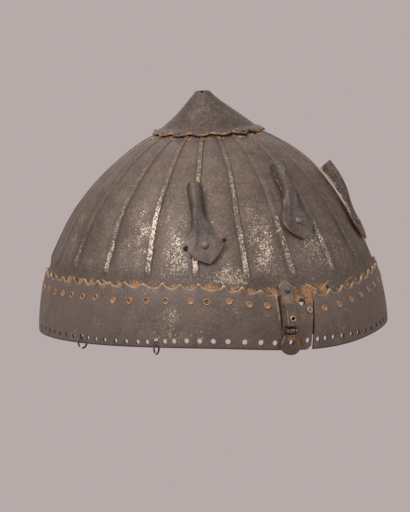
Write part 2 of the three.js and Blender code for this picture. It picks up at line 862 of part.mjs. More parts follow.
// Plume holders
function walkSkin(holder, distance) {
  const lean = radians(holder.lean);
  const stride = distance / walkSteps;
  let climb = climbAtHeight(holder.tipHeight);
  let turn = radians(holder.turn);
  for (let step = 0; step < walkSteps; step += 1) {
    const here = climbPoint(turn, climb);
    const rise = climbPoint(turn, climb + probeTurn).distanceTo(here) / probeTurn;
    const round = climbPoint(turn + probeTurn, climb).distanceTo(here) / probeTurn;
    climb += (Math.cos(lean) * stride) / rise;
    turn += (Math.sin(lean) * stride) / round;
  }
  return { turn, climb, height: climbPoint(turn, climb).z };
}

function plumeSection(holder, [lengthShare, widthShare, depthShare]) {
  const spot = walkSkin(holder, plumeLength * lengthShare);
  const ahead = walkSkin(holder, plumeLength * lengthShare + plumeThickness);
  const normal = climbNormal(spot.turn, spot.climb);
  const along = climbPoint(ahead.turn, ahead.climb).sub(climbPoint(spot.turn, spot.climb)).normalize();
  const across = along.clone().cross(normal).normalize();
  const base = climbSkin(spot.turn, spot.climb, ribHeight + seatGap);
  const halfWidth = plumeLeafHalfWidth * widthShare;
  const arch = (plumeTubeDepth - plumeThickness - seatGap) * depthShare;
  const outer = [];
  for (let step = 0; step <= plumeSectionSteps; step += 1) {
    const angle = (step / plumeSectionSteps - 0.5) * Math.PI;
    const flat = (2 * step) / plumeSectionSteps - 1;
    const side = THREE.MathUtils.lerp(flat, Math.sin(angle), depthShare);
    outer.push({ side: halfWidth * side, rise: plumeThickness + arch * Math.cos(angle) });
  }
  const inner = outer.map((point, step) => {
    const before = outer[Math.max(step - 1, 0)];
    const after = outer[Math.min(step + 1, plumeSectionSteps)];
    const slope = new THREE.Vector2(after.side - before.side, after.rise - before.rise).normalize();
    return {
      side: point.side + slope.y * plumeThickness,
      rise: point.rise - slope.x * plumeThickness,
    };
  });
  return [...outer, ...inner.reverse()].map((point) => {
    return base.clone().addScaledVector(across, point.side).addScaledVector(normal, point.rise);
  });
}

function buildPlumeHolders() {
  plumeHolders.forEach((holder) => {
    const sections = plumeStationShares.map((shares) => plumeSection(holder, shares));
    const spot = plumeRivetSpot(holder);
    const hole = punched(spot.turn, spot.height, shankRadius + seatGap, rivetSides);
    const body = joinSheet(sections).subtract(hole);
    addPiece(holder.name, toGeometry(body), paleIron);
    const rivet = wallRivet(spot.turn, spot.height, {
      headLift: ribHeight + 2 * seatGap + plumeThickness,
      headRadius: plumeRivetHeadRadius,
      headHeight: plumeRivetHeadHeight,
      shoulderShare: plumeRivetShoulderShare,
      shankRadius,
      tailRadius,
      sides: largeRivetSides,
    });
    addPiece(`${holder.name}_rivet`, toGeometry(rivet), darkIron);
  });
}

// Hinged fitting
function fittingPoint(side, height, lift) {
  const turn = radians(fittingTurn);
  const climb = climbAtHeight(height);
  const around = climbPoint(turn + probeTurn, climb).distanceTo(climbPoint(turn, climb));
  return skin(turn + (side * probeTurn) / around, height, lift);
}

// A block on the curved wall: rows of height, half width, inner lift and outer lift
function wallBlock(rows) {
  const rings = rows.map((row) => [
    fittingPoint(-row.halfWidth, row.height, row.inner),
    fittingPoint(row.halfWidth, row.height, row.inner),
    fittingPoint(row.halfWidth, row.height, row.outer),
    fittingPoint(-row.halfWidth, row.height, row.outer),
  ]);
  return joinRings(rings);
}

function fittingSeat() {
  return bandThickness + 2 * seatGap;
}

function strapRows() {
  const low = fittingSeat();
  const rows = [];
  const add = (height, halfWidth, inner) => {
    rows.push({ height, halfWidth, inner, outer: inner + strapThickness });
  };
  add(hingeHeight, barrelHalfLength, low);
  add(boxBottomHeight, barrelHalfLength, low);
  add(boxBottomHeight + seatGap, strapWaistHalfWidth, low);
  add(boxTopHeight, strapWaistHalfWidth, low);
  add(strapJogHeight - strapJogLength, strapWaistHalfWidth, low);
  add(strapJogHeight, strapHalfWidth, seatGap);
  const centre = strapTopHeight - strapHalfWidth;
  for (let step = 0; step <= strapEndSteps; step += 1) {
    const angle = (step / strapEndSteps) * radians(strapEndTurn);
    add(centre + strapHalfWidth * Math.sin(angle), strapHalfWidth * Math.cos(angle), seatGap);
  }
  return rows;
}

function boxRows(inset, bottomInset, inner, outer) {
  const middle = (boxBottomHeight + boxTopHeight) / 2;
  const heights = [boxBottomHeight + bottomInset, middle, boxTopHeight - inset];
  return heights.map((height) => ({ height, halfWidth: boxHalfWidth - inset, inner, outer }));
}

function hingeFrame() {
  const turn = radians(fittingTurn);
  const axisLift = fittingSeat() + barrelRadius;
  const upward = new THREE.Vector3(0, 0, 1);
  const across = new THREE.Vector3().crossVectors(upward, skinNormal(turn, 0)).normalize();
  return { place: skin(turn, hingeHeight, axisLift), across };
}

function barrel(from, to, radius, sides) {
  const frame = hingeFrame();
  const profile = [[0, from], [radius, from], [radius, to], [0, to]];
  return turned(profile, sides, frame.place, frame.across);
}

function buildFittingBase() {
  const seat = fittingSeat();
  const block = wallBlock(boxRows(0, 0, seat, seat + boxDepth));
  const hollow = wallBlock(boxRows(boxWall, boxWall, seat - cutOverrun, seat + boxDepth - boxWall));
  const boreReach = barrelHalfLength + cutOverrun;
  const bore = barrel(-boreReach, boreReach, pinRadius + seatGap, barrelSides);
  const solid = wasm.Manifold.union([
    wallBlock(strapRows()),
    block,
    barrel(-barrelHalfLength, barrelHalfLength, barrelRadius, barrelSides),
  ]);
  const rivetHole = punched(radians(fittingTurn), strapRivetHeight, shankRadius + seatGap, rivetSides);
  const cuts = wasm.Manifold.union([hollow, bore, rivetHole, eyeletHole()]);
  addPiece('fitting_base', toGeometry(solid.subtract(cuts)), paleIron);
}

function eyeletProfileAt(radius, from, to) {
  const turn = radians(fittingTurn);
  const profile = [[0, from], [radius, from], [radius, to], [0, to]];
  return turned(profile, eyeletSides, skin(turn, eyeletHeight, 0), skinNormal(turn, eyeletHeight));
}

function eyeletHole() {
  const face = fittingSeat() + boxDepth;
  const radius = eyeletBoreRadius + eyeletWall + seatGap;
  return eyeletProfileAt(radius, face - boxWall - cutOverrun / 2, face + cutOverrun);
}

function buildEyelet() {
  const face = fittingSeat() + boxDepth;
  const back = face - boxWall;
  const flange = seatGap + eyeletFlangeHeight;
  const tube = eyeletProfileAt(eyeletBoreRadius + eyeletWall, back - seatGap, face + flange);
  const front = eyeletProfileAt(eyeletFlangeRadius, face + seatGap, face + flange);
  const bore = eyeletProfileAt(eyeletBoreRadius, back - cutOverrun, face + flange + cutOverrun);
  addPiece('fitting_eyelet', toGeometry(tube.add(front).subtract(bore)), rustyBrass);
}

function leafRows() {
  const inner = fittingSeat() + leafStandOff;
  const rows = [];
  const top = hingeHeight - barrelRadius - seatGap;
  const add = (height, halfWidth) => {
    rows.push({ height, halfWidth, inner, outer: inner + leafThickness });
  };
  add(top, leafTopHalfWidth);
  const centre = leafBottomHeight + leafHalfWidth;
  add((top + centre) / 2, (leafTopHalfWidth + leafHalfWidth) / 2);
  for (let step = 0; step <= leafEndSteps; step += 1) {
    const angle = (step / leafEndSteps) * radians(leafEndTurn);
    add(centre - leafHalfWidth * Math.sin(angle), leafHalfWidth * Math.cos(angle));
  }
  return rows.map((row) => flatRow(row));
}

// The leaf is flat, so that it swings clear: its rows lie in the hinge's own plane
function flatRow(row) {
  const frame = hingeFrame();
  const outward = new THREE.Vector3().crossVectors(frame.across, new THREE.Vector3(0, 0, 1)).normalize();
  const point = (side, lift) => frame.place.clone()
    .addScaledVector(frame.across, side)
    .addScaledVector(outward, lift - fittingSeat() - barrelRadius)
    .setZ(row.height);
  return [
    point(-row.halfWidth, row.inner),
    point(row.halfWidth, row.inner),
    point(row.halfWidth, row.outer),
    point(-row.halfWidth, row.outer),
  ];
}

function leafEar(side) {
  const near = barrelHalfLength + seatGap;
  const far = near + outerBarrelLength;
  const inner = fittingSeat() + leafStandOff;
  const from = side > 0 ? near : -far;
  const to = side > 0 ? far : -near;
  const frame = hingeFrame();
  const outward = new THREE.Vector3().crossVectors(frame.across, new THREE.Vector3(0, 0, 1)).normalize();
  const corner = (across, lift, height) => frame.place.clone()
    .addScaledVector(frame.across, across)
    .addScaledVector(outward, lift - fittingSeat() - barrelRadius)
    .setZ(height);
  const ring = (height) => [
    corner(from, inner, height),
    corner(to, inner, height),
    corner(to, inner + leafThickness, height),
    corner(from, inner + leafThickness, height),
  ];
  const web = joinRings([ring(hingeHeight - barrelRadius - 2 * seatGap), ring(hingeHeight)]);
  return wasm.Manifold.union([web, barrel(from, to, barrelRadius, barrelSides)]);
}

function buildLeaf() {
  const plate = joinRings(leafRows());
  const turn = radians(fittingTurn);
  const holeHeight = sunkHeight(turn, mailHoleHeight);
  const hole = punched(turn, holeHeight, leafHoleRadius, barrelSides);
  const reach = barrelHalfLength + outerBarrelLength + cutOverrun;
  const bore = barrel(-reach, reach, pinRadius + seatGap, barrelSides);
  const solid = wasm.Manifold.union([plate, leafEar(1), leafEar(-1)]);
  addPiece('fitting_leaf', toGeometry(solid.subtract(wasm.Manifold.union([hole, bore]))), paleIron);
}

function buildHingePin() {
  const end = barrelHalfLength + outerBarrelLength + 2 * seatGap;
  const reach = end + pinHeadLength / 2;
  const shank = barrel(-reach, reach, pinRadius, barrelSides);
  const left = barrel(-end - pinHeadLength, -end, pinHeadRadius, barrelSides);
  const right = barrel(end, end + pinHeadLength, pinHeadRadius, barrelSides);
  addPiece('fitting_hinge_pin', toGeometry(wasm.Manifold.union([shank, left, right])), darkIron);
}

function buildStrapRivet() {
  const rivet = wallRivet(radians(fittingTurn), strapRivetHeight, {
    headLift: strapThickness + 2 * seatGap,
    headRadius: strapRivetHeadRadius,
    headHeight: bandRivetHeadHeight,
    shankRadius,
    tailRadius,
    sides: largeRivetSides,
  });
  addPiece('fitting_rivet', toGeometry(rivet), darkIron);
}

// Mail links: an open ring through a rim hole, in the upright plane that looks outward
function linkFrame(link) {
  const turn = mailHoleTurns[link.hole];
  const edge = sunkHeight(turn, 0);
  const outward = skinNormal(turn, 0);
  const inRadius = link.ringRadius - linkWireRadius - seatGap;
  const stripTop = mailHoleHeight - mailHoleRadius;
  const centreDrop = Math.sqrt(inRadius ** 2 - (bandThickness / 2) ** 2) - stripTop;
  const middle = skin(turn, edge, seatGap + bandThickness / 2);
  return { outward, centre: middle.setZ(edge - centreDrop) };
}

function buildLink(link) {
  const frame = linkFrame(link);
  const up = new THREE.Vector3(0, 0, 1);
  const across = new THREE.Vector3().crossVectors(up, frame.outward).normalize();
  const gap = radians(link.gapTurn);
  const rings = [];
  for (let step = 0; step <= linkSteps; step += 1) {
    const angle = gap / 2 + ((2 * Math.PI - gap) * step) / linkSteps - radians(linkGapLean);
    const spoke = frame.outward.clone().multiplyScalar(Math.cos(angle));
    spoke.addScaledVector(up, Math.sin(angle));
    const ring = [];
    for (let side = 0; side < linkSides; side += 1) {
      const round = (2 * Math.PI * side) / linkSides;
      ring.push(frame.centre.clone()
        .addScaledVector(spoke, link.ringRadius + linkWireRadius * Math.cos(round))
        .addScaledVector(across, linkWireRadius * Math.sin(round)));
    }
    rings.push(ring);
  }
  addPiece(link.name, toGeometry(joinRings(rings)), rustyBrass);
}

buildBowl();
buildBand();
buildFrontPlate();
buildApexPlate();
buildApexRivets();
buildPlumeHolders();
buildFittingBase();
buildEyelet();
buildLeaf();
buildHingePin();
buildStrapRivet();
links.forEach(buildLink);

export default helmet;
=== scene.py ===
from math import acos, cos, hypot, pi, radians, sin, sqrt
import bpy
import bmesh
import numpy as np
from mathutils import Matrix, Vector


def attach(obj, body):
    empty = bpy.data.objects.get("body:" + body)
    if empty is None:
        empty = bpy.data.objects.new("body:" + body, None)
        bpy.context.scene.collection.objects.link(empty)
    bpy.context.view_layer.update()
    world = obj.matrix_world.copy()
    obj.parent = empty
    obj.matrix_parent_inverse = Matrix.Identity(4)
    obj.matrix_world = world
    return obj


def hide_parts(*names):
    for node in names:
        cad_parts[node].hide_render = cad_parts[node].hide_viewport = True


# Ribbed iron helmet. Metres, the rim plane at height zero, the front along -Y, the wearer's left along +X.
# A place on the wall is a turn round from the front towards +X, a height, and a lift off the skin.

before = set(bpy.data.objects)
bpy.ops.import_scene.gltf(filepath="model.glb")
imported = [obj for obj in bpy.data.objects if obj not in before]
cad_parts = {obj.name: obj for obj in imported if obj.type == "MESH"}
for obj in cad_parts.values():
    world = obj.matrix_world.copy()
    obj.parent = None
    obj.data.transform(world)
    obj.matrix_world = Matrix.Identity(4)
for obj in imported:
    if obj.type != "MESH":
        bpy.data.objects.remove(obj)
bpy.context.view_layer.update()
print("frame loaded:", len(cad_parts), "nodes")


# Heights and turns on the wall

wallForm = {
    "halfWidth": 0.10975,
    "halfLength": 0.1202,
    "height": 0.1336,
    "fullness": 1.828,
    "lean": 0.0026,  # the crown stands a little to one side
    "leanTurn": 57.0,
    "leanStart": 0.072,
    "leanFull": 0.112,
    "leanEnd": 0.1535,
    "rimDrop": 0.0062,  # the front dips by this at the rim
    "bandTopDrop": 0.0105,  # and by this at the band's top
    "dropCentre": 3.0,
    "dropSpread": 22.0,
    "dropFade": 0.030,
}


# A bell curve round nought
def bell(value):
    return np.exp(-0.5 * value ** 2)


# A value on the way from one to another
def between(start, end, share):
    return start + (end - start) * share


# A turn brought to within half a turn of the front
def wrapped(turn):
    return np.angle(np.exp(1j * turn))


# Held between 0 and 1, then its square times three less twice itself
def smoothStep(value):
    held = np.clip(value, 0.0, 1.0)
    return held * held * (3 - 2 * held)


# Climb is the angle whose sine, raised to 2 / fullness, gives the share of the bowl's height
def climbAt(height):
    share = np.clip(np.asarray(height, float) / wallForm["height"], 0.0, 1.0)
    return np.arcsin(share ** (wallForm["fullness"] / 2))


# The crown's lean grows from one height to another, and fades again up the cap
def leanAt(height):
    rise = smoothStep((height - wallForm["leanStart"]) / (wallForm["leanFull"] - wallForm["leanStart"]))
    fall = smoothStep((height - wallForm["height"]) / (wallForm["leanEnd"] - wallForm["height"]))
    return wallForm["lean"] * rise * (1 - fall)


# Plan of the wall at a height: half the width across, more along by the cube of its share of the full width
def planPoint(turn, halfWidth, height):
    extra = (wallForm["halfLength"] - wallForm["halfWidth"]) * (halfWidth / wallForm["halfWidth"]) ** 3
    lean = leanAt(height)
    leanTurn = radians(wallForm["leanTurn"])
    across = halfWidth * np.sin(turn) + lean * sin(leanTurn)
    along = -(halfWidth + extra) * np.cos(turn) - lean * cos(leanTurn)
    return np.stack(np.broadcast_arrays(across, along, height), -1)


# Half the width is the cosine of the climb; the height is its sine to the power 2 / fullness
def wallPoint(turn, climb):
    height = wallForm["height"] * np.sin(np.maximum(climb, 0)) ** (2 / wallForm["fullness"])
    return planPoint(turn, wallForm["halfWidth"] * np.cos(climb), height)


# Points of the skin and its outward normals, from small steps round and up
def skinFrame(turn, climb):
    turn, climb = np.broadcast_arrays(np.asarray(turn, float), np.asarray(climb, float))
    step = 1e-4
    climb = np.clip(climb, step, pi / 2 - 2 * step)
    points = wallPoint(turn, climb)
    across = wallPoint(turn + step, climb) - points
    upward = wallPoint(turn, climb + step) - points
    normals = np.cross(across, upward)
    return points, normals / np.linalg.norm(normals, axis=-1, keepdims=True)


# A point at a lift along the skin's normal; below the rim plane the wall goes straight down
def skin(turn, height, lift):
    points, normals = skinFrame(turn, climbAt(height))
    points = points + normals * np.asarray(lift, float)[..., None]
    points[..., 2] += np.minimum(height, 0)
    return points


# Height less the front's dip: a bell curve round the dip's centre, fading out above the band
def sunk(turn, height):
    away = wrapped(turn - radians(wallForm["dropCentre"]))
    nearness = bell(away / radians(wallForm["dropSpread"]))
    share = np.minimum(height / band["height"], 1.0)
    drop = between(wallForm["rimDrop"], wallForm["bandTopDrop"], share)
    above = np.clip(1 - np.maximum(height - band["height"], 0) / wallForm["dropFade"], 0.0, 1.0)
    return height - nearness * drop * above


# The same, with the front's dip
def wall(turn, height, lift):
    return skin(turn, sunk(turn, height), lift)


# Centre, normal and radius of a hole or rivet on the wall; level spots aren't sunk at the front
def wallSpot(turnDegrees, height, radius, level=False):
    turn = np.array(radians(turnDegrees))
    return *skinFrame(turn, climbAt(np.array(height) if level else sunk(turn, height))), radius


# Smooth noise: a sum of sine waves in seeded directions, about -1 to 1
def waves(points, size, seed, count=14):
    chance = np.random.default_rng(seed)
    directions = chance.normal(size=(count, 3))
    directions /= np.linalg.norm(directions, axis=1, keepdims=True)
    lengths = size * chance.uniform(0.6, 1.6, count)
    phases = chance.uniform(0, 2 * pi, count)
    total = np.zeros(points.shape[:-1])
    for direction, length, phase in zip(directions, lengths, phases):
        total += np.sin(points @ direction * (2 * pi / length) + phase)
    return total / sqrt(count)


# A smooth curve through given points, with each point's slope taken from its neighbours
def curveThrough(value, places, heights):
    places, heights = np.asarray(places, float), np.asarray(heights, float)
    slopes = np.gradient(heights, places)
    order = np.clip(np.searchsorted(places, value) - 1, 0, len(places) - 2)
    width = places[order + 1] - places[order]
    t = (value - places[order]) / width
    start, end = heights[order], heights[order + 1]
    return (start * (1 + 2 * t) * (1 - t) ** 2 + slopes[order] * width * t * (1 - t) ** 2
            + end * t * t * (3 - 2 * t) + slopes[order + 1] * width * t * t * (t - 1))


# Meshes

# An object of its own name in the scene
def newObject(name, points, faces):
    mesh = bpy.data.meshes.new(name)
    mesh.from_pydata(np.reshape(points, (-1, 3)).tolist(), [], faces)
    made = bpy.data.objects.new(name, mesh)
    bpy.context.scene.collection.objects.link(made)
    return made


# Faces shaded smooth, but for edges sharper than an angle in degrees
def smooth(piece, sharp=32.0):
    piece.data.polygons.foreach_set("use_smooth", [True] * len(piece.data.polygons))
    piece.data.set_sharp_from_angle(angle=radians(sharp))


# Changes a piece's mesh and turns its faces outwards
def reshape(piece, change, sharp=32.0):
    work = bmesh.new()
    work.from_mesh(piece.data)
    change(work)
    bmesh.ops.recalc_face_normals(work, faces=work.faces)
    work.to_mesh(piece.data)
    work.free()
    smooth(piece, sharp)


# Points less than a ten-thousandth of a millimetre apart become one
def mergeDoubles(work):
    bmesh.ops.remove_doubles(work, verts=work.verts, dist=1e-7)


# A face over each open end
def closeEnds(work):
    bmesh.ops.edgeloop_fill(work, edges=[edge for edge in work.edges if edge.is_boundary])


# A piece from points and faces; masks are one number for each point, kept for the materials
def meshPiece(name, points, faces, body="helmet", sharp=32.0, masks=None):
    piece = newObject(name, points, faces)
    for key, values in (masks or {}).items():
        mask = piece.data.attributes.new(key, "FLOAT", "POINT")
        spread = np.broadcast_to(values, points.shape[:-1])
        mask.data.foreach_set("value", np.ascontiguousarray(spread, dtype=np.float32).ravel())
    reshape(piece, mergeDoubles, sharp)
    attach(piece, body)
    return piece


# Quads over a grid of rows and columns; either way can run round
def gridFaces(rows, columns, rowsRound, columnsRound, start=0):
    row, column = np.indices((rows - 1 + rowsRound, columns - 1 + columnsRound))
    nextRow = (row + 1) % rows
    nextColumn = (column + 1) % columns
    corners = [row * columns + column, row * columns + nextColumn,
               nextRow * columns + nextColumn, nextRow * columns + column]
    return (np.stack(corners, -1).reshape(-1, 4) + start).tolist()


# A surface over a grid of points; its first and last rows can be capped
def loft(name, grid, rowsRound=False, columnsRound=False, capped=False, **settings):
    rows, columns = grid.shape[:2]
    faces = gridFaces(rows, columns, rowsRound, columnsRound)
    if capped:
        faces += [list(range(columns)), list(range((rows - 1) * columns, rows * columns))]
    return meshPiece(name, grid, faces, **settings)


# Several meshes made one piece
def joined(name, pieces):
    with bpy.context.temp_override(active_object=pieces[0], selected_editable_objects=pieces):
        bpy.ops.object.join()
    pieces[0].name = name
    return pieces[0]


# Unit spokes of a ring in the plane of two directions
def spokes(side, rise, sides):
    angles = np.linspace(0, 2 * pi, sides, endpoint=False)[:, None]
    return np.cos(angles) * side + np.sin(angles) * rise


# Round punches through a piece: one cutter of many-sided prisms, used once and thrown away
def punch(piece, spots, sides=18, depth=0.006):
    prisms = []
    faces = []
    for centre, normal, radius in spots:
        turnTo = np.array(Vector((0, 0, 1)).rotation_difference(Vector(normal)).to_matrix()).T
        ring = radius * spokes(turnTo[0], turnTo[1], sides)
        first = 2 * sides * len(prisms)
        prisms.append(centre + np.stack([ring - depth * turnTo[2], ring + depth * turnTo[2]]))
        faces += [list(range(first, first + sides))[::-1], list(range(first + sides, first + 2 * sides))]
        faces += gridFaces(2, sides, False, True, start=first)
    carve(piece, newObject("cutter", prisms, faces))


# Takes a cutter's form out of a piece
def carve(piece, cutter):
    cut = piece.modifiers.new("holes", "BOOLEAN")
    cut.operation = "DIFFERENCE"
    cut.solver = "EXACT"
    cut.object = cutter
    bpy.context.view_layer.update()
    finished = bpy.data.meshes.new_from_object(piece.evaluated_get(bpy.context.evaluated_depsgraph_get()))
    piece.modifiers.clear()
    old = [piece.data, cutter.data]
    piece.data = finished
    bpy.data.objects.remove(cutter)
    for mesh in old:
        bpy.data.meshes.remove(mesh)
    smooth(piece)


# Turned forms: rows of radius and lift along a direction; each has its own small tilt
def turnedForms(name, spots, profile, sides, tilt=0.0, seed=1, marks=None, **settings):
    chance = np.random.default_rng(seed)
    radius, lift = np.array(profile).T[:, :, None, None]
    points = []
    faces = []
    for centre, direction in spots:
        side = np.cross([0.31, 0.17, 0.93], direction)
        side /= np.linalg.norm(side)
        rise = np.cross(direction, side)
        leaned = direction + tilt * (chance.normal() * side + chance.normal() * rise)
        leaned /= np.linalg.norm(leaned)
        first = len(points) * len(profile) * sides
        last = first + (len(profile) - 1) * sides
        points.append(centre + leaned * lift + radius * spokes(np.cross(rise, leaned), rise, sides))
        faces += gridFaces(len(profile), sides, False, True, start=first)
        faces += [list(range(first, first + sides)), list(range(last, last + sides))]
    if marks:
        settings["masks"] = {"pale": np.tile(marks, len(spots))[:, None]}
    return meshPiece(name, np.concatenate(points), faces, **settings)


# A closed ring turned round an axis, with its bore open
def turnedRing(name, point, axis, profile, sides, **settings):
    side = np.cross([0, 0, 1.0], axis)
    side /= np.linalg.norm(side)
    radius, height = np.array(profile).T[:, :, None, None]
    grid = point + axis * height + radius * spokes(side, np.cross(axis, side), sides)
    return loft(name, grid, rowsRound=True, columnsRound=True, **settings)


# Section of a bar: a rectangle with rounded corners, as places across and lifts, one loop for each row
def roundedLoop(halfWidth, inner, outer, radius, steps=4):
    halfWidth, inner, outer, radius = (value[:, None] for value in (halfWidth, inner, outer, radius))
    corner = np.repeat(np.arange(4), steps + 1)
    angle = pi / 2 * (corner + np.tile(np.arange(steps + 1) / steps, 4))
    across = np.array([1, -1, -1, 1])[corner] * (halfWidth - radius) + radius * np.cos(angle)
    return across, np.where(corner < 2, outer - radius, inner + radius) + radius * np.sin(angle)


# A bar on the wall or in a plane: rows of height, half width, inner lift and outer lift, with rounded ends
def bar(name, place, rows, radius, **settings):
    rows = np.array(rows, float)
    rounding = np.array([(0.0, 1.0), (0.3, 0.3), (1.0, 0.0)]) * radius
    up = 1 if rows[-1][0] > rows[0][0] else -1
    first = [rows[0] + [up * along, -inset, inset, -inset] for along, inset in rounding]
    last = [rows[-1] + [-up * along, -inset, inset, -inset] for along, inset in rounding[::-1]]
    rows = np.array(first + list(rows[1:-1]) + last)
    across, lifts = roundedLoop(rows[:, 1], rows[:, 2], rows[:, 3], np.minimum(radius, rows[:, 1] * 0.6))
    grid = place(across, np.broadcast_to(rows[:, :1], across.shape), lifts)
    return loft(name, grid, columnsRound=True, capped=True, **settings)


# Shaders

# Colours as read off a screen, 0 to 255
tones = {
    "patina": (110, 93, 82), "deepPatina": (84, 70, 61), "slate": (102, 93, 89), "blueGrey": (98, 90, 92),
    # This tone is dirt in pits and grain, and also painted shade wherever the dark mask and the fitting's
    # dark lines put it
    "warm": (138, 114, 96), "worn": (212, 194, 174), "edge": (158, 138, 118), "dirtAndShade": (46, 38, 33),
    "rust": (158, 112, 76), "brightRust": (190, 142, 96), "darkRust": (104, 68, 44),
    "gold": (206, 174, 132), "brass": (204, 170, 122), "deepBrass": (150, 104, 58),
    "copper": (176, 122, 82), "rolledRim": (196, 164, 130), "band": (122, 105, 94),
    "deepBand": (96, 83, 76), "plate": (124, 105, 93), "deepPlate": (104, 88, 77),
    "apex": (82, 69, 59), "deepApex": (66, 54, 46), "blueSteel": (75, 64, 57), "deepSteel": (62, 53, 47),
    "fitting": (116, 102, 91), "deepFitting": (84, 71, 61), "leaf": (112, 96, 84), "deepLeaf": (84, 68, 57),
    "plumeRivet": (128, 110, 96), "strapRivet": (104, 92, 84), "wire": (76, 60, 43),
    "deepWire": (46, 36, 28), "backdrop": (183, 171, 170), "paper": (198, 187, 186), "air": (205, 200, 200),
}


# A tone by its name, made linear
def tone(name):
    share = np.array(tones[name]) / 255
    linear = np.where(share <= 0.04045, share / 12.92, ((share + 0.055) / 1.055) ** 2.4)
    return (*linear.tolist(), 1.0)


# A socket on which sums can be done: each sign makes a maths node
class Signal:
    def __init__(self, nodes, socket):
        self.nodes = nodes
        self.socket = socket

    def __add__(self, other):
        return self.nodes.sum("ADD", self, other)

    def __sub__(self, other):
        return self.nodes.sum("SUBTRACT", self, other)

    def __rsub__(self, other):
        return self.nodes.sum("SUBTRACT", other, self)

    def __mul__(self, other):
        return self.nodes.sum("MULTIPLY", self, other)

    def __truediv__(self, other):
        return self.nodes.sum("DIVIDE", self, other)

    __radd__ = __add__
    __rmul__ = __mul__


# Nodes of a tree: a value goes onto its socket, a tone by its name, and a signal is linked to it
class Nodes:
    def __init__(self, tree):
        self.tree = tree

    def node(self, kind, settings=None, sockets=None, output=0):
        made = self.tree.nodes.new(kind)
        for key, value in (settings or {}).items():
            setattr(made, key, value)
        for key, value in (sockets or {}).items():
            self.feed(made.inputs[key], value)
        return Signal(self, made.outputs[output])

    def feed(self, socket, value):
        if isinstance(value, Signal):
            self.tree.links.new(value.socket, socket)
        else:
            socket.default_value = tone(value) if isinstance(value, str) else value

    def sum(self, operation, first, second=0.0):
        return self.node("ShaderNodeMath", {"operation": operation}, {0: first, 1: second})


# One material: its nodes, the object's own places and the masks that are kept with the mesh
class Finish(Nodes):
    def __init__(self, name):
        self.material = bpy.data.materials.new(name)
        self.material.use_nodes = True
        super().__init__(self.material.node_tree)
        self.shader = self.tree.nodes["Principled BSDF"]
        self.place = self.node("ShaderNodeTexCoord", output="Object")
        self.masks = {}

    # A number kept with the mesh's points; nought where the piece has none of that name
    def mask(self, name):
        if name not in self.masks:
            self.masks[name] = self.node("ShaderNodeAttribute", {"attribute_name": name}, output="Fac")
        return self.masks[name]

    # Noise with so many spots to a metre
    def noise(self, scale, detail, roughness, where=None):
        return self.node("ShaderNodeTexNoise", {"noise_dimensions": "3D"},
                         {"Vector": where or self.place, "Scale": scale, "Detail": detail,
                          "Roughness": roughness})

    # Nought at the low value, rising smoothly to the top at the high one
    def ramp(self, value, low, high, top=1.0):
        return self.node("ShaderNodeMapRange", {"interpolation_type": "SMOOTHSTEP", "clamp": True},
                         {"Value": value, "From Min": low, "From Max": high, "To Max": top})

    # One colour over another, as much as the mask says
    def paint(self, mask, under, over):
        return self.node("ShaderNodeMix", {"data_type": "RGBA", "blend_type": "MIX", "clamp_factor": True},
                         {0: mask, 6: under, 7: over}, output=2)

    def axis(self, name):
        return self.node("ShaderNodeSeparateXYZ", None, {0: self.place}, output=name)

    # Places times a factor each way, which stretches a noise along the smallest
    def stretched(self, factors):
        return self.node("ShaderNodeVectorMath", {"operation": "MULTIPLY"}, {0: self.place, 1: factors})

    # A thin line on the front or the left side, between two places: along X or Y, and up
    def thinLine(self, sideways, start, end, width):
        along = (end[0] - start[0], end[1] - start[1])
        length = hypot(*along)
        across, up = self.axis(sideways) - start[0], self.axis("Z") - start[1]
        walked = (across * along[0] + up * along[1]) / length
        aside = self.sum("ABSOLUTE", (across * along[1] - up * along[0]) / length)
        line = self.ramp(aside, width, width * 0.4)
        ends = self.ramp(walked, 0.0, length * 0.15) * self.ramp(walked, length, length * 0.85)
        return line * ends * self.ramp(self.axis("Y" if sideways == "X" else "X"), 0.0, -0.02)

    def bump(self, height, distance):
        return self.node("ShaderNodeBump", None, {"Height": height, "Distance": distance, "Strength": 1.0})

    # Puts what was made onto the shader; gives the material
    def wear(self, **inputs):
        names = {"color": "Base Color", "rough": "Roughness", "metal": "Metallic", "normal": "Normal"}
        for key, value in inputs.items():
            self.feed(self.shader.inputs[names[key]], value)
        return self.material
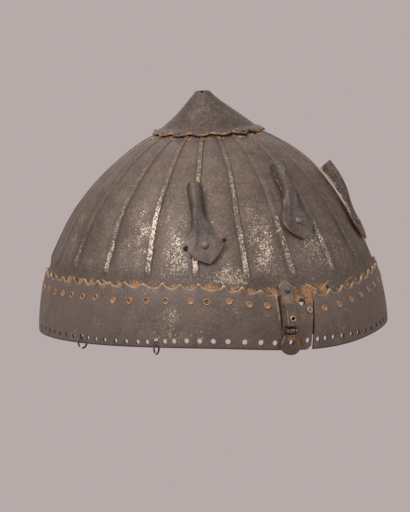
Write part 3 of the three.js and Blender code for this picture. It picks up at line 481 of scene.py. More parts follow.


# Aged iron: patina over deep patina in clouds, bare speckled metal where it is worn, rust in patches.
# Masks on the mesh add to each: worn, pale, rust, gold, dark; pale and gold also paint highlights, dark
# paints shade.
def agedIron(name, under, deep, worn=0.5, rust=0.2, metal=0.45, roughness=0.6, grain=1.0, scratchesAndPaintedLight=()):
    iron = Finish(name)
    clouds = iron.noise(22, 4, 0.55)
    mottle = iron.noise(95, 6, 0.7)
    fine = iron.noise(660 * grain, 4, 0.75)
    speck = iron.noise(1250 * grain, 2, 0.6)
    streak = iron.noise(34, 5, 0.62, where=iron.stretched((5.0, 5.0, 0.7)))
    grains = fine * 0.5 + speck * 0.5
    color = iron.paint(iron.ramp(clouds * 0.35 + mottle * 0.35 + fine * 0.3, 0.38, 0.62), deep, under)
    for pattern, low, high, top, tint in [
            (streak * 0.4 + fine * 0.6, 0.46, 0.62, 0.4, "slate"),
            (clouds * 0.6 + mottle * 0.4, 0.50, 0.62, 0.4, "blueGrey"),
            (mottle * 0.3 + grains * 0.7, 0.47, 0.60, 0.35, "warm")]:
        color = iron.paint(iron.ramp(pattern, low, high, top), color, tint)
    density = iron.mask("worn") * (0.45 + 0.75 * iron.ramp(mottle * 0.5 + streak * 0.5, 0.36, 0.62))
    density = density + iron.mask("pale") + (worn - 0.5) * 0.3 + (streak - 0.5) * 0.6
    density = iron.sum("MINIMUM", density, 1.25)
    bare = iron.ramp(grains + density * 0.12, 0.625, 0.685)
    color = iron.paint(iron.ramp(density, 0.0, 1.6, 0.14), color, "worn")
    pits = iron.ramp(grains - density * 0.03, 0.46, 0.36, 0.7)
    color = iron.paint(pits * (0.35 + 0.65 * iron.ramp(density, 0.1, 0.8)), color, "dirtAndShade")
    color = iron.paint(bare * 0.85, color, "worn")
    scale = mottle * 0.12 + fine * 0.44 + speck * 0.44
    rusty = iron.ramp(scale + iron.mask("rust") * 0.34, 0.70 - 0.12 * rust, 0.80 - 0.12 * rust)
    rustColor = iron.paint(iron.ramp(fine, 0.36, 0.60), "darkRust", "rust")
    bright = iron.ramp(speck + iron.mask("rust") * 0.16, 0.54, 0.70)
    rustColor = iron.paint(bright, rustColor, "brightRust")
    color = iron.paint(rusty * 0.85, color, rustColor)
    color = iron.paint(iron.mask("gold") * iron.ramp(grains, 0.30, 0.5), color, "gold")
    # The dark mask paints dirt, and painted shade in creases, round rivets and holes and inside
    color = iron.paint(iron.mask("dark") * (0.7 + 0.3 * mottle), color, "dirtAndShade")
    # Thin lines: scratches, and on the fitting painted highlights and painted shadows
    for tint, *line in scratchesAndPaintedLight:
        color = iron.paint(iron.thinLine(*line) * iron.ramp(grains, 0.38, 0.54), color, tint)
    rough = roughness + (mottle - 0.5) * 0.2 - bare * 0.08 + rusty * 0.2
    metalness = metal - rusty * 0.3 - iron.mask("dark") * 0.2
    normal = iron.bump(fine * 0.5 + speck * 0.4 + rusty * 0.5 - pits * 0.4, 0.00010)
    return iron.wear(color=color, rough=rough, metal=metalness, normal=normal)


# Gives a piece its one material
def dress(piece, material):
    piece.data.materials.clear()
    piece.data.materials.append(material)


# Hides the nodes that a piece stands for, gives it its one material and prints how many faces it has
def finishPiece(piece, slot, material, *replaced):
    if replaced:
        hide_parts(*replaced)
    dress(piece, material)
    print(piece.name + ":", len(piece.data.polygons), "faces")
    return piece


# Stage, light and camera

camera = {
    "azimuth": -33.0,
    "elevation": 5.434,
    "roll": -2.465,
    "distance": 2.2,
    "target": (0.0, 0.0, 0.070),
    "targetPixel": (208.06, 217.36),
    "frame": (410, 512),
    "focalPixels": 3348.0,
    "sensor": 36.0,
}

lights = [
    {"name": "keyLight", "azimuth": -80, "elevation": 48, "distance": 1.9, "size": 1.6, "power": 33},
    {"name": "fillLight", "azimuth": 30, "elevation": 30, "distance": 2.2, "size": 1.8, "power": 14},
    {"name": "topLight", "azimuth": -20, "elevation": 80, "distance": 1.8, "size": 1.8, "power": 8},
    {"name": "backLight", "azimuth": 150, "elevation": 35, "distance": 2.0, "size": 1.8, "power": 11},
]

stage = {
    "width": 3.6,
    "floor": -0.42,
    "back": 3.2,
    "top": 3.4,
    "bend": 0.7,
    "airStrength": 0.35,
}


# Way out to an azimuth and an elevation in degrees
def directionFrom(azimuth, elevation):
    azimuth, elevation = radians(azimuth), radians(elevation)
    return Vector((sin(azimuth) * cos(elevation), -cos(azimuth) * cos(elevation), sin(elevation)))


# One even tone for the camera and in what the iron mirrors, whatever light falls on the surface itself
def showEvenly(nodes, plain, glowKind, output):
    rays = nodes.node("ShaderNodeLightPath").socket.node.outputs
    seen = Signal(nodes, rays["Is Camera Ray"])
    for name in ("Is Glossy Ray", "Is Transmission Ray"):
        seen = nodes.sum("MAXIMUM", seen, Signal(nodes, rays[name]))
    glow = nodes.node(glowKind, None, {"Color": "backdrop"})
    mixed = nodes.node("ShaderNodeMixShader", None, {0: seen, 1: Signal(nodes, plain.outputs[0]), 2: glow})
    nodes.feed(output.inputs["Surface"], mixed)


# A floor that bends up into a wall behind: two rows of the same profile, side by side
def buildStage():
    paper = Finish("backdropPaper")
    paper.wear(color="paper", rough=0.9, metal=0.0)
    showEvenly(paper, paper.shader, "ShaderNodeEmission", paper.tree.nodes["Material Output"])
    back, floor, bend = stage["back"], stage["floor"], stage["bend"]
    angle = np.linspace(0, pi / 2, 13)
    along = np.concatenate([[-back], back - bend * (1 - np.sin(angle)), [back]])
    height = np.concatenate([[floor], floor + bend * (1 - np.cos(angle)), [stage["top"]]])
    sides = np.array([[-stage["width"]], [stage["width"]]])
    turn = np.array(Matrix.Rotation(radians(camera["azimuth"]), 3, "Z"))
    grid = np.stack(np.broadcast_arrays(sides, along, height), -1) @ turn.T
    backdrop = newObject("backdrop", grid, gridFaces(2, len(along), False, False))
    backdrop.data.polygons.foreach_set("use_smooth", [True] * len(backdrop.data.polygons))
    dress(backdrop, paper.material)


# The camera looks along the photograph's direction, rolled, its shift bringing the target to its pixel
def buildCamera():
    back = directionFrom(camera["azimuth"], camera["elevation"])
    azimuth, roll = radians(camera["azimuth"]), radians(camera["roll"])
    right = Vector((cos(azimuth), sin(azimuth), 0))
    up = back.cross(right)
    rolledRight = right * cos(roll) + up * sin(roll)
    rolledUp = up * cos(roll) - right * sin(roll)
    data = bpy.data.cameras.new("camera")
    data.sensor_width = camera["sensor"]
    width, height = camera["frame"]
    data.lens = camera["focalPixels"] * camera["sensor"] / height
    data.shift_x = (width / 2 - camera["targetPixel"][0]) / height
    data.shift_y = (camera["targetPixel"][1] - height / 2) / height
    data.clip_start, data.clip_end = 0.05, 20
    eye = bpy.data.objects.new("camera", data)
    turn = Matrix((rolledRight, rolledUp, back)).transposed()
    place = Vector(camera["target"]) + back * camera["distance"]
    eye.matrix_world = Matrix.Translation(place) @ turn.to_4x4()
    bpy.context.scene.collection.objects.link(eye)
    bpy.context.scene.camera = eye


# Round soft lamps that face the helmet, and a faint even air
def buildLights():
    for light in lights:
        back = directionFrom(light["azimuth"], light["elevation"])
        data = bpy.data.lights.new(light["name"], "AREA")
        data.shape = "DISK"
        data.size = light["size"]
        data.energy = light["power"]
        lamp = bpy.data.objects.new(light["name"], data)
        lamp.location = Vector((0, 0, 0.06)) + back * light["distance"]
        lamp.rotation_mode = "QUATERNION"
        lamp.rotation_quaternion = back.to_track_quat("Z", "Y")
        bpy.context.scene.collection.objects.link(lamp)
    world = bpy.data.worlds.new("studio")
    world.use_nodes = True
    nodes = Nodes(world.node_tree)
    air = nodes.tree.nodes["Background"]
    nodes.feed(air.inputs["Color"], "air")
    nodes.feed(air.inputs["Strength"], stage["airStrength"])
    showEvenly(nodes, air, "ShaderNodeBackground", nodes.tree.nodes["World Output"])
    bpy.context.scene.world = world
    bpy.context.scene.view_settings.view_transform = "Standard"


# Bowl

bowl = {
    "thickness": 0.0014,
    "edgeHeight": 0.0105,
    "ribs": 21,
    "ribFirstTurn": -5.7,
    "ribHalfWidth": 0.0017,
    "ribSlope": 0.0009,
    "ribHeight": 0.0010,
    "ribTopHeight": 0.00045,
    "ribNarrowing": 0.62,
    "ribFoot": 0.0423,
    "ribFade": 0.006,
    "groove": 0.0010,  # depth of the panels' edges beside the ribs
    "dentDepth": 0.00028,
    "rows": 140,
    "innerRows": 30,
    "crownGap": 0.015,  # the rows end this far below the crown, in radians of climb
    "bareHoles": [(-43.4, 0.0604, 0.0020), (-29.0, 0.0648, 0.0015)],  # turn, height and radius
    # turn, height, how far they spread each way, and strength
    "wornPatches": [(-61, 0.068, 4.5, 0.016, 0.9), (-46, 0.060, 4.0, 0.014, 1.25),
                    (-28, 0.045, 6.0, 0.006, 1.3), (-15, 0.062, 4.0, 0.016, 1.15),
                    (8, 0.060, 4.5, 0.012, 0.85), (-78, 0.056, 5.0, 0.012, 0.4)],
    "frontHole": (-4.8, 0.0238, 0.0024),  # through the front plate too
    "notch": (7.4, 0.0312, 0.0010),  # close above the band
    # tone, the axis that it runs along, its two ends as places along that axis and up, and half its width
    "scratchesAndPaintedLight": [("gold", "X", (-0.0042, 0.0353), (0.0049, 0.0300), 0.0005),
                  ("gold", "X", (0.0068, 0.0298), (0.0159, 0.0351), 0.0005),
                  ("gold", "Y", (-0.0272, 0.0410), (-0.0368, 0.0367), 0.0004),
                  ("gold", "Y", (-0.0232, 0.0402), (-0.0307, 0.0370), 0.0004),
                  ("gold", "X", (-0.0463, 0.0403), (-0.0402, 0.0375), 0.0004),
                  ("gold", "X", (-0.0134, 0.0668), (-0.0080, 0.0694), 0.0005),
                  ("gold", "X", (0.0300, 0.0322), (0.0386, 0.0350), 0.0004)],
    "iron": {"under": "patina", "deep": "deepPatina", "worn": 0.35, "rust": 0.05},
}


# Columns of one rib's pitch: the rib's own width first, then the panel to the next rib.
# Returns turns from the rib's middle, how high the rib stands, and the share across the panel.
def ribColumns(climb):
    pitch = 2 * pi / bowl["ribs"]
    radius = np.maximum(wallForm["halfWidth"] * np.cos(climb), 0.012)
    narrow = 1 + (bowl["ribNarrowing"] - 1) * climb / (pi / 2)
    foot = np.minimum((bowl["ribHalfWidth"] + bowl["ribSlope"]) * narrow / radius, pitch * 0.26)
    top = np.minimum(bowl["ribHalfWidth"] * narrow / radius, foot * 0.7)
    shares = np.array([-1.0, -0.86, -0.72, -0.4, 0.0, 0.4, 0.72, 0.86, 1.0])
    size = np.abs(shares)[None, :]
    near = top[:, None] * size / 0.72
    far = top[:, None] + (foot - top)[:, None] * (size - 0.72) / 0.28
    onRib = np.sign(shares)[None, :] * np.where(size <= 0.72, near, far)
    count = 16
    steps = np.arange(1, count) / count
    spread = (1 - np.cos(pi * steps)) / 2 * 0.6 + steps * 0.4
    gap = (pitch - 2 * foot)[:, None]
    local = np.concatenate([onRib, foot[:, None] + gap * spread[None, :]], 1)
    stand = np.concatenate([np.interp(np.abs(shares), [0.0, 0.72, 0.86, 1.0], [1.0, 0.97, 0.5, 0.0]),
                            np.zeros(count - 1)])
    across = np.concatenate([np.zeros(len(shares)), spread])
    return local, stand, across


# Skin plus ribs, less the dents and the hollows beside the ribs; the inner face follows a wall below
def buildBowl():
    plainTop = bowl["ribFoot"] - 0.002
    ribbed = np.linspace(climbAt(plainTop), pi / 2 - bowl["crownGap"], bowl["rows"] - 14)
    heights = np.concatenate([
        np.linspace(bowl["edgeHeight"], plainTop, 15)[:-1],
        wallForm["height"] * np.sin(ribbed) ** (2 / wallForm["fullness"]),
    ])
    climbs = climbAt(heights)
    local, stand, across = ribColumns(climbs)
    chance = np.random.default_rng(5)
    ribs = np.arange(bowl["ribs"])
    centres = radians(bowl["ribFirstTurn"]) + 2 * pi / bowl["ribs"] * ribs
    swing, phase = chance.uniform(3, 6, bowl["ribs"]), chance.uniform(0, 6, bowl["ribs"])
    sway = np.sin(climbs[:, None] * swing + phase) * 0.004
    turns = (centres[None, :, None] + sway[:, :, None] + local[:, None, :]).reshape(len(heights), -1)
    stands = np.tile(stand, bowl["ribs"])[None, :]
    panel = np.tile(across, bowl["ribs"])[None, :]
    rows = heights[:, None] + 0 * turns
    base = wall(turns, rows, 0 * turns)
    rise = smoothStep((heights - bowl["ribFoot"]) / bowl["ribFade"])
    crown = np.clip((climbs - climbAt(0.05)) / (pi / 2 - climbAt(0.05)), 0, 1)
    standHeight = (rise * between(bowl["ribHeight"], bowl["ribTopHeight"], crown ** 2))[:, None]
    groove = (smoothStep((heights - 0.046) / 0.02) * bowl["groove"] * (1 - crown) ** 0.7)[:, None]
    bulge = np.sin(pi * panel) ** 0.8
    quiet = smoothStep((heights - 0.040) / 0.02)[:, None]
    dents = waves(base, 0.045, 11) * 0.7 + waves(base, 0.018, 12) * 0.35
    sink = (dents - 0.9) * bowl["dentDepth"] * quiet - groove * (1 - bulge)
    outer = wall(turns, rows, standHeight * stands + sink)
    innerPick = np.linspace(len(heights) - 1, 0, bowl["innerRows"]).round().astype(int)
    inner = wall(turns[innerPick], rows[innerPick], sink[innerPick] * 0.9 - bowl["thickness"])
    top = np.zeros((1, turns.shape[1], 3)) + [0, 0, wallForm["height"] - 0.0006]
    top[..., 0] += wallForm["lean"] * sin(radians(wallForm["leanTurn"]))
    top[..., 1] -= wallForm["lean"] * cos(radians(wallForm["leanTurn"]))
    innerTop = top - [0, 0, bowl["thickness"]]
    grid = np.concatenate([top, outer[::-1], inner[::-1], innerTop])
    masks = bowlMasks(turns, rows, base, stands, panel, rise[:, None], crown[:, None])
    # The inner rows get dark 0.5: dark patina, and painted shade of the unlit inside of the bowl
    filler = np.zeros((1 + len(inner), turns.shape[1]))
    masks = {key: np.concatenate([filler[:1], mask[::-1], filler + 0.5 * (key == "dark")])
             for key, mask in masks.items()}
    piece = loft("bowlShell", grid, columnsRound=True, masks=masks)
    spots = [wallSpot(*hole, level=True) for hole in bowl["bareHoles"] + [bowl["frontHole"], bowl["notch"]]]
    punch(piece, spots, sides=22, depth=0.005)
    iron = agedIron("bowlIron", **bowl["iron"], scratchesAndPaintedLight=bowl["scratchesAndPaintedLight"])
    finishPiece(piece, "bowl_iron", iron, "bowl")


# Where the bowl is worn, pale, rusted or dark, from a panel's own share across and the height
def bowlMasks(turns, rows, base, stands, panel, rise, crown):
    degrees = np.degrees(wrapped(turns))
    middle = np.sin(pi * panel) ** 1.5
    belly = bell((rows - 0.062) / 0.022)
    patches = waves(base, 0.05, 31) * 0.6 + waves(base, 0.02, 32) * 0.5
    frontal = bell((degrees + 30) / 42) * 0.5 + 0.5
    worn = middle * belly * (0.25 + 0.35 * frontal) + patches * 0.15
    for turn, height, wide, high, strength in bowl["wornPatches"]:
        away = np.hypot((degrees - turn) / wide, (rows - height) / high)
        worn = np.maximum(worn, strength * bell(away) * (1 + 0.2 * patches))
    worn = np.clip(worn, 0, 1.4) * smoothStep((rows - 0.037) / 0.006)
    onTop = np.clip((stands - 0.5) * 2, 0, 1)
    onTop = onTop ** (1 + 2.5 * smoothStep((rows - 0.07) / 0.03))
    # Pale rib tops: wear, and a painted highlight that is strongest where the ribs face the lamps and the
    # camera
    seen = 0.35 + 0.65 * bell((degrees + 47) / 27)
    flecks = np.clip(0.95 + 0.3 * waves(base, 0.012, 33), 0.4, 1.2)
    pale = onTop * rise * seen * (0.2 + 1.1 * (1 - crown) ** 1.4) * flecks
    # Painted shade with some grime: darker on the ribs' flanks and in the panels' feet beside them
    edge = np.clip(1 - np.abs(stands - 0.4) / 0.4, 0, 1) * rise
    foot = bell(np.minimum(panel, 1 - panel) / 0.09) * (stands < 0.05) * rise
    dark = edge * 0.5 + foot * 0.5 * (0.3 + 0.7 * belly) * np.clip(0.8 + 0.4 * waves(base, 0.014, 34), 0, 1)
    trough = 1 - np.clip(crestNearness(turns, 1.1).sum(-1), 0, 1)
    crumbs = np.clip(0.85 + 0.4 * waves(base, 0.006, 35), 0.5, 1.3)
    aboveBand = bell((rows - band["height"] - 0.0006) / 0.0022)
    rust = (0.25 + 0.75 * trough) * aboveBand * crumbs * 1.1
    plate = 1.25 * smoothStep((rows - 0.034) / 0.002) * (1 - smoothStep((rows - 0.0395) / 0.007))
    rust = np.maximum(rust, plate * smoothStep((9 - np.abs(degrees + 1.0)) / 2.0) * crumbs * 0.95)
    radius = np.hypot(base[..., 0] - 0.002, base[..., 1] + 0.0012)
    ring = bell((radius - 0.0375) / 0.0020)
    rust = np.maximum(rust, ring * crumbs * 0.7)
    slate = bell((rows - band["height"] - 0.006) / 0.0035) * 0.3
    return {"worn": worn, "pale": pale, "rust": rust, "dark": np.maximum(dark, slate)}


# Brim band

band = {
    "gap": 0.0003,  # off the bowl
    "thickness": 0.00145,
    "height": 0.0375,
    "start": 0.1,
    "end": 346.4,
    "startSlant": 2.5,
    "endSlant": 0.6,
    "scallops": 54,
    "scallopHeight": 0.0028,
    "crestShare": 0.14,  # of a scallop, from its start
    "crestWidth": 0.72,  # degrees
    "ripple": 0.16,  # even wave under the crests, as a share of their height
    "slantReach": 6.4,  # degrees over which an end's slant fades out
    "columnsPerScallop": 20,
    "flare": 0.0005,
    "rivetShare": 0.42,
    "rivetHeight": 0.0295,
    "rivetRadius": 0.00215,
    # a head's rim, a deep cup and a nearly full one: shares of the radius, tenths of a millimetre of lift
    "rim": [(0.98, -4), (1, 1), (0.95, 3), (0.85, 4.2), (0.74, 3)],
    "cup": [(0.68, -1), (0.66, -8), (0.5, -10), (0.2, -10)],
    "dish": [(0.66, 1), (0.5, -1), (0.3, -1), (0.12, 0)],
    # by the scallop's order: degrees that its rivet stands off the even spacing, its drop in millimetres,
    # and degrees that its crest stands off the even spacing
    "rivetShifts": {0: 0.75, 1: 1.1, 2: 1.0, 3: 0.75, 42: -0.85, 43: -1.3, 44: -1.65, 45: -0.6, 46: -0.7,
                    47: -1.1, 48: -0.8, 49: 0.95, 50: -0.25, 51: 0.5, 52: 0.5, 53: 0.0},
    "rivetDrops": {0: 1.6, 1: 1.3, 2: 0.6, 3: 0.7, 45: 1.2, 46: 1.0, 47: 0.5, 48: 0.4, 51: -1.1},
    "crestShifts": {45: -1.1, 46: -1.3, 47: -0.9, 48: -0.3, 49: -0.8, 50: -0.9, 51: 1.2, 52: 0.6, 53: 0.3},
    "leftMail": [-0.3, 2.7, 6.1, 10, 14.6, 18.3, 22.5, 26.8, 31],
    "rightMail": [277.7, 280.5, 284, 287.8, 292.1, 296, 300.1, 303.3, 306.3, 309.2,
                  312.2, 316.2, 320.3, 324.6, 329.2, 334.5, 339.7, 344.3],
    "evenMail": 60,
    "mailHeight": 0.0044,
    "mailRadius": 0.0016,
    "innerRadius": 0.0016,  # of the holes behind the rivets' heads
    # turn, how much higher the holes stand than the mail height, and their radius, in millimetres
    "mailDrift": [(-110, 0.0, 1.5), (-86, -0.3, 1.45), (-82.3, 0.0, 1.7), (-78, -0.6, 1.4),
                  (-71, -0.9, 1.4), (-57, -1.0, 1.45), (-53.7, 0.0, 1.7), (-50, -0.3, 1.5), (-46, 0.3, 1.6),
                  (-17, 0.7, 1.65), (0, -0.9, 1.55), (8, -0.5, 1.5), (40, 0.0, 1.5)],
    "iron": {"under": "band", "deep": "deepBand", "worn": 0.2, "rust": 0.12},
}

bandStart, bandEnd = radians(band["start"]), radians(band["end"])

# The rivets' tails inside the bowl, as radii and lifts off the skin
rivetTail = [(0.0016, -0.0023), (0.00175, -0.0018), (0.0010, -0.0017)]


# Rows of a head: shares of its radius, and tenths of a millimetre that it stands off its seat
def headRows(radius, seat, rows):
    return [(radius * share, seat + lift / 10000) for share, lift in rows]


# Turns of the crests, each a little off the even spacing
def crestTurns():
    chance = np.random.default_rng(22)
    shifts = chance.uniform(-0.4, 0.4, band["scallops"])
    for order, shift in band["crestShifts"].items():
        shifts[order] = shift
    places = np.arange(band["scallops"]) + band["crestShare"]
    return bandStart + (bandEnd - bandStart) / band["scallops"] * places + np.radians(shifts)


# How much of a crest there is at each turn: a bell curve round every crest
def crestNearness(turns, width):
    away = wrapped(turns[..., None] - crestTurns())
    return bell(away / radians(width))


# The strip's two ends lean: each height of an end stands nearer the front plate the lower it is
def bandTurnAt(turn, height):
    low = 1 - height / band["height"]
    nearStart = np.clip(1 - (turn - bandStart) / radians(band["slantReach"]), 0, 1)
    nearEnd = np.clip(1 - (bandEnd - turn) / radians(band["slantReach"]), 0, 1)
    slant = nearEnd * radians(band["endSlant"]) - nearStart * radians(band["startSlant"])
    return turn + low * slant


# Turns of the small holes: measured near the front, evenly spaced round the back
def mailTurns():
    step = (band["rightMail"][0] - band["leftMail"][-1]) / (band["evenMail"] + 1)
    even = [band["leftMail"][-1] + step * (order + 1) for order in range(band["evenMail"])]
    return band["leftMail"] + even + band["rightMail"]


# Rivets sit at a share of each scallop, shifted and dropped a little
def rivetSpots():
    chance = np.random.default_rng(23)
    spots = []
    for order in range(band["scallops"]):
        shift = band["rivetShifts"].get(order, chance.uniform(-0.4, 0.4))
        drop = band["rivetDrops"].get(order, chance.uniform(-0.4, 0.4)) / 1000
        along = (bandEnd - bandStart) / band["scallops"] * (order + band["rivetShare"])
        turn = bandStart + along + radians(shift)
        spots.append(wallSpot(np.degrees(turn), band["rivetHeight"] - drop, band["rivetRadius"]))
    return spots


# Holes above the lower edge, with their rise and radius drifting round the rim
def mailSpots():
    turns, rises, radii = np.array(band["mailDrift"]).T
    spots = []
    for turn in mailTurns():
        signed = (turn + 180) % 360 - 180
        rise, radius = np.interp(signed, turns, rises) / 1000, np.interp(signed, turns, radii) / 1000
        spots.append(wallSpot(turn, band["mailHeight"] + rise, radius))
    return spots


# How near each point of a grid is to the nearest of some spots: distances in metres along the wall
def nearestOf(grid, spots):
    nearest = np.full(grid.shape[:2], 1.0)
    for centre, normal, radius in spots:
        nearest = np.minimum(nearest, np.linalg.norm(grid - centre, axis=-1))
    return nearest


# Rows of height and lift up the outside, over the top edge, down the inside and under the foot
def stripLevels(top, topLift, face, thickness, bottom, count, knee):
    edge = 0.0004
    levels = [(between(bottom + edge, knee, share), face) for share in np.linspace(0, 1, count)]
    levels += [(between(knee, top - edge, share), between(face, topLift, share ** 2))
               for share in np.linspace(0, 1, 9)[1:]]
    last = levels[-1][1]
    over = [(top - edge * 0.3, last - edge * 0.3), (top, last - edge), (top, last - thickness + edge),
            (top - edge * 0.3, last - thickness + edge * 0.3)]
    back = [(height, lift - thickness) for height, lift in reversed(levels)]
    inner = face - thickness
    under = [(bottom + edge * 0.3, inner + edge * 0.3), (bottom, inner + edge), (bottom, face - edge),
             (bottom + edge * 0.3, face - edge * 0.3)]
    return [(height + 0 * top, lift + 0 * top) for height, lift in levels + over + back + under]


# The strip's top edge is its height plus bell-shaped crests, which flare off the bowl
def buildBand():
    count = band["scallops"] * band["columnsPerScallop"]
    phase = np.linspace(0, band["scallops"], count + 1)
    turn = bandStart + (bandEnd - bandStart) * phase / band["scallops"]
    chance = np.random.default_rng(21)
    sizes = chance.uniform(0.5, 0.95, band["scallops"])
    sizes[:12] *= 0.7
    wobble = waves(np.stack([turn * 0.11, 0 * turn, 0 * turn], -1), 0.006, 24) * 0.07
    ripple = band["ripple"] * np.cos(2 * pi * (phase - 0.1))
    rise = (crestNearness(turn, band["crestWidth"]) * sizes).sum(-1) + ripple + wobble
    crest = np.clip(rise, 0, 1)
    top = band["height"] + band["scallopHeight"] * rise
    face = band["gap"] + band["thickness"]
    topLift = face + band["flare"] * crest - 0.0002 * (1 - crest)
    levels = stripLevels(top, topLift, face, band["thickness"], 0 * turn, 30, 0.033)
    grid = np.stack([wall(bandTurnAt(turn, height), height, lift) for height, lift in levels])
    holes = mailSpots()
    rivets = rivetSpots()
    masks = bandMasks(grid, turn, levels, top, crest, holes, rivets)
    piece = loft("bandStrip", grid, rowsRound=True, masks=masks)
    reshape(piece, closeEnds)
    behind = [(centre, normal, band["innerRadius"]) for centre, normal, radius in rivets]
    punch(piece, holes + behind, sides=16, depth=0.005)
    heads = buildBandRivets(rivets, face)
    finishPiece(piece, "band_iron", agedIron("bandIron", **band["iron"]), "brim_band")
    finishPiece(heads, "band_rivets", rivetBrass(), "brim_band")


# Gold on the top edge is a painted highlight; rust under it and round rivets and holes, painted shade in
# their edges
def bandMasks(grid, turn, levels, top, crest, holes, rivets):
    heights = np.stack([height for height, lift in levels])
    onTop = smoothStep((heights - (top - 0.0014)) / 0.0009)
    crumbs = np.clip(0.75 + 0.5 * waves(grid, 0.005, 41), 0.25, 1.2)
    toEnd = smoothStep((np.degrees(turn) - band["end"] + 1.0) / 0.9) * smoothStep((heights - 0.018) / 0.006)
    # Painted highlight: the top edge catches the light in gold, more on the crests; gold too at the end by
    # the front
    gold = np.maximum(onTop * (0.35 + 0.6 * crest), toEnd * 0.9) * crumbs
    underTop = smoothStep((heights - (top - 0.0045)) / 0.0035) * (1 - onTop)
    nearHole = nearestOf(grid, holes) - band["mailRadius"]
    nearRivet = nearestOf(grid, rivets) - band["rivetRadius"]
    smudges = np.clip(0.5 + 0.6 * waves(grid, 0.008, 42), 0, 1.1)
    rust = underTop * 0.45 * smudges + np.exp(-np.maximum(nearRivet, 0) / 0.0011) * 0.45 * crumbs
    rust += np.exp(-np.maximum(nearHole, 0) / 0.0008) * 0.35 * smudges + toEnd * 0.5
    # Painted shade: dark rings where the rivets' heads meet the band and in the holes' edges. Darker along
    # the lower edge too
    dark = np.exp(-np.abs(nearRivet - 0.0001) / 0.0004) * 0.5
    dark += np.exp(-np.maximum(nearHole, 0) / 0.0004) * 0.4
    dark = np.maximum(dark, smoothStep((0.0014 - heights) / 0.0010) * 0.75)
    degrees = np.degrees(wrapped(turn))
    smear = bell((degrees + 49) / 3.2) * smoothStep((0.028 - heights) / 0.006) * 0.5
    worn = smear + np.clip(waves(grid, 0.016, 43) * 0.25, 0, 0.3)
    worn += np.clip(waves(grid, 0.03, 44) * 0.15, 0, 0.2)
    return {"gold": gold, "rust": rust, "dark": np.clip(dark, 0, 1), "worn": worn * (1 - onTop)}


# Hollow heads: a rolled pale rim round a rusty cup that sinks into the band, or nearly fills it
def buildBandRivets(rivets, face):
    deep, full = (headRows(band["rivetRadius"], face, band["rim"] + band[kind]) for kind in ("cup", "dish"))
    deepMarks = [0.0, 0.3, 0.8, 1.0, 0.5, 0.1, 0.0, 0.0, 0.0]
    fullMarks = [0.0, 0.3, 0.6, 0.7, 0.5, 0.35, 0.4, 0.45, 0.3]
    filled = [order for order in range(band["scallops"]) if order < 10 or order > 50 or order % 4 == 1]
    spots = [(centre, normal) for centre, normal, radius in rivets]
    deepSpots = [spot for order, spot in enumerate(spots) if order not in filled]
    fullSpots = [spots[order] for order in filled]
    cups = turnedForms("cups", deepSpots, deep, 14, tilt=0.03, seed=9, marks=deepMarks)
    dishes = turnedForms("dishes", fullSpots, full, 14, tilt=0.03, seed=10, marks=fullMarks)
    tails = [(0.0011, 0.0002), (0.0011, -0.0018), (0.00175, -0.0018), (0.0016, -0.0022), (0.0009, -0.00235)]
    ends = turnedForms("tails", spots, tails, 12)
    return joined("bandRivets", [cups, dishes, ends])


# Rust-brown copper with a pale rolled rim
def rivetBrass():
    brass = Finish("rivetCopper")
    fine = brass.noise(620, 5, 0.7)
    speck = brass.noise(1500, 3, 0.6)
    patch = brass.noise(110, 3, 0.6)
    color = brass.paint(brass.ramp(fine, 0.36, 0.62), "darkRust", "copper")
    color = brass.paint(brass.ramp(patch, 0.42, 0.6, 0.6), color, "patina")
    color = brass.paint(brass.mask("pale") * brass.ramp(speck, 0.25, 0.5) * 0.9, color, "rolledRim")
    rough = 0.6 - brass.mask("pale") * 0.12 + fine * 0.1
    metalness = 0.3 + brass.mask("pale") * 0.3
    normal = brass.bump(fine + speck * 0.4, 0.00008)
    return brass.wear(color=color, rough=rough, metal=metalness, normal=normal)


# Front plate

frontPlate = {
    "height": 0.0356,
    "start": -12.4,
    "end": -0.5,
    "slant": 2.7,
    "cornerRise": 0.0024,
    "mailHoles": [(-10.4, 0.0040, 0.0017), (-4.2, 0.0028, 0.0016)],
    "plugTurn": -6.2,
    "plugHeight": 0.0036,
    "plugRadius": 0.00185,
    "rivetTurn": -2.6,
    "rivetHeight": 0.0275,
    "head": [(0.98, 0), (1, 2), (0.9, 5), (0.6, 5.5), (0.3, 4)],
    "tuck": 0.68,  # degrees that the foot of its left edge reaches behind the band's end
    "iron": {"under": "plate", "deep": "deepPlate", "worn": 0.1, "rust": 0.25},
    "plugIron": {"under": "rust", "deep": "darkRust", "worn": 0.1, "rust": 0.6, "metal": 0.4, "grain": 1.5},
}


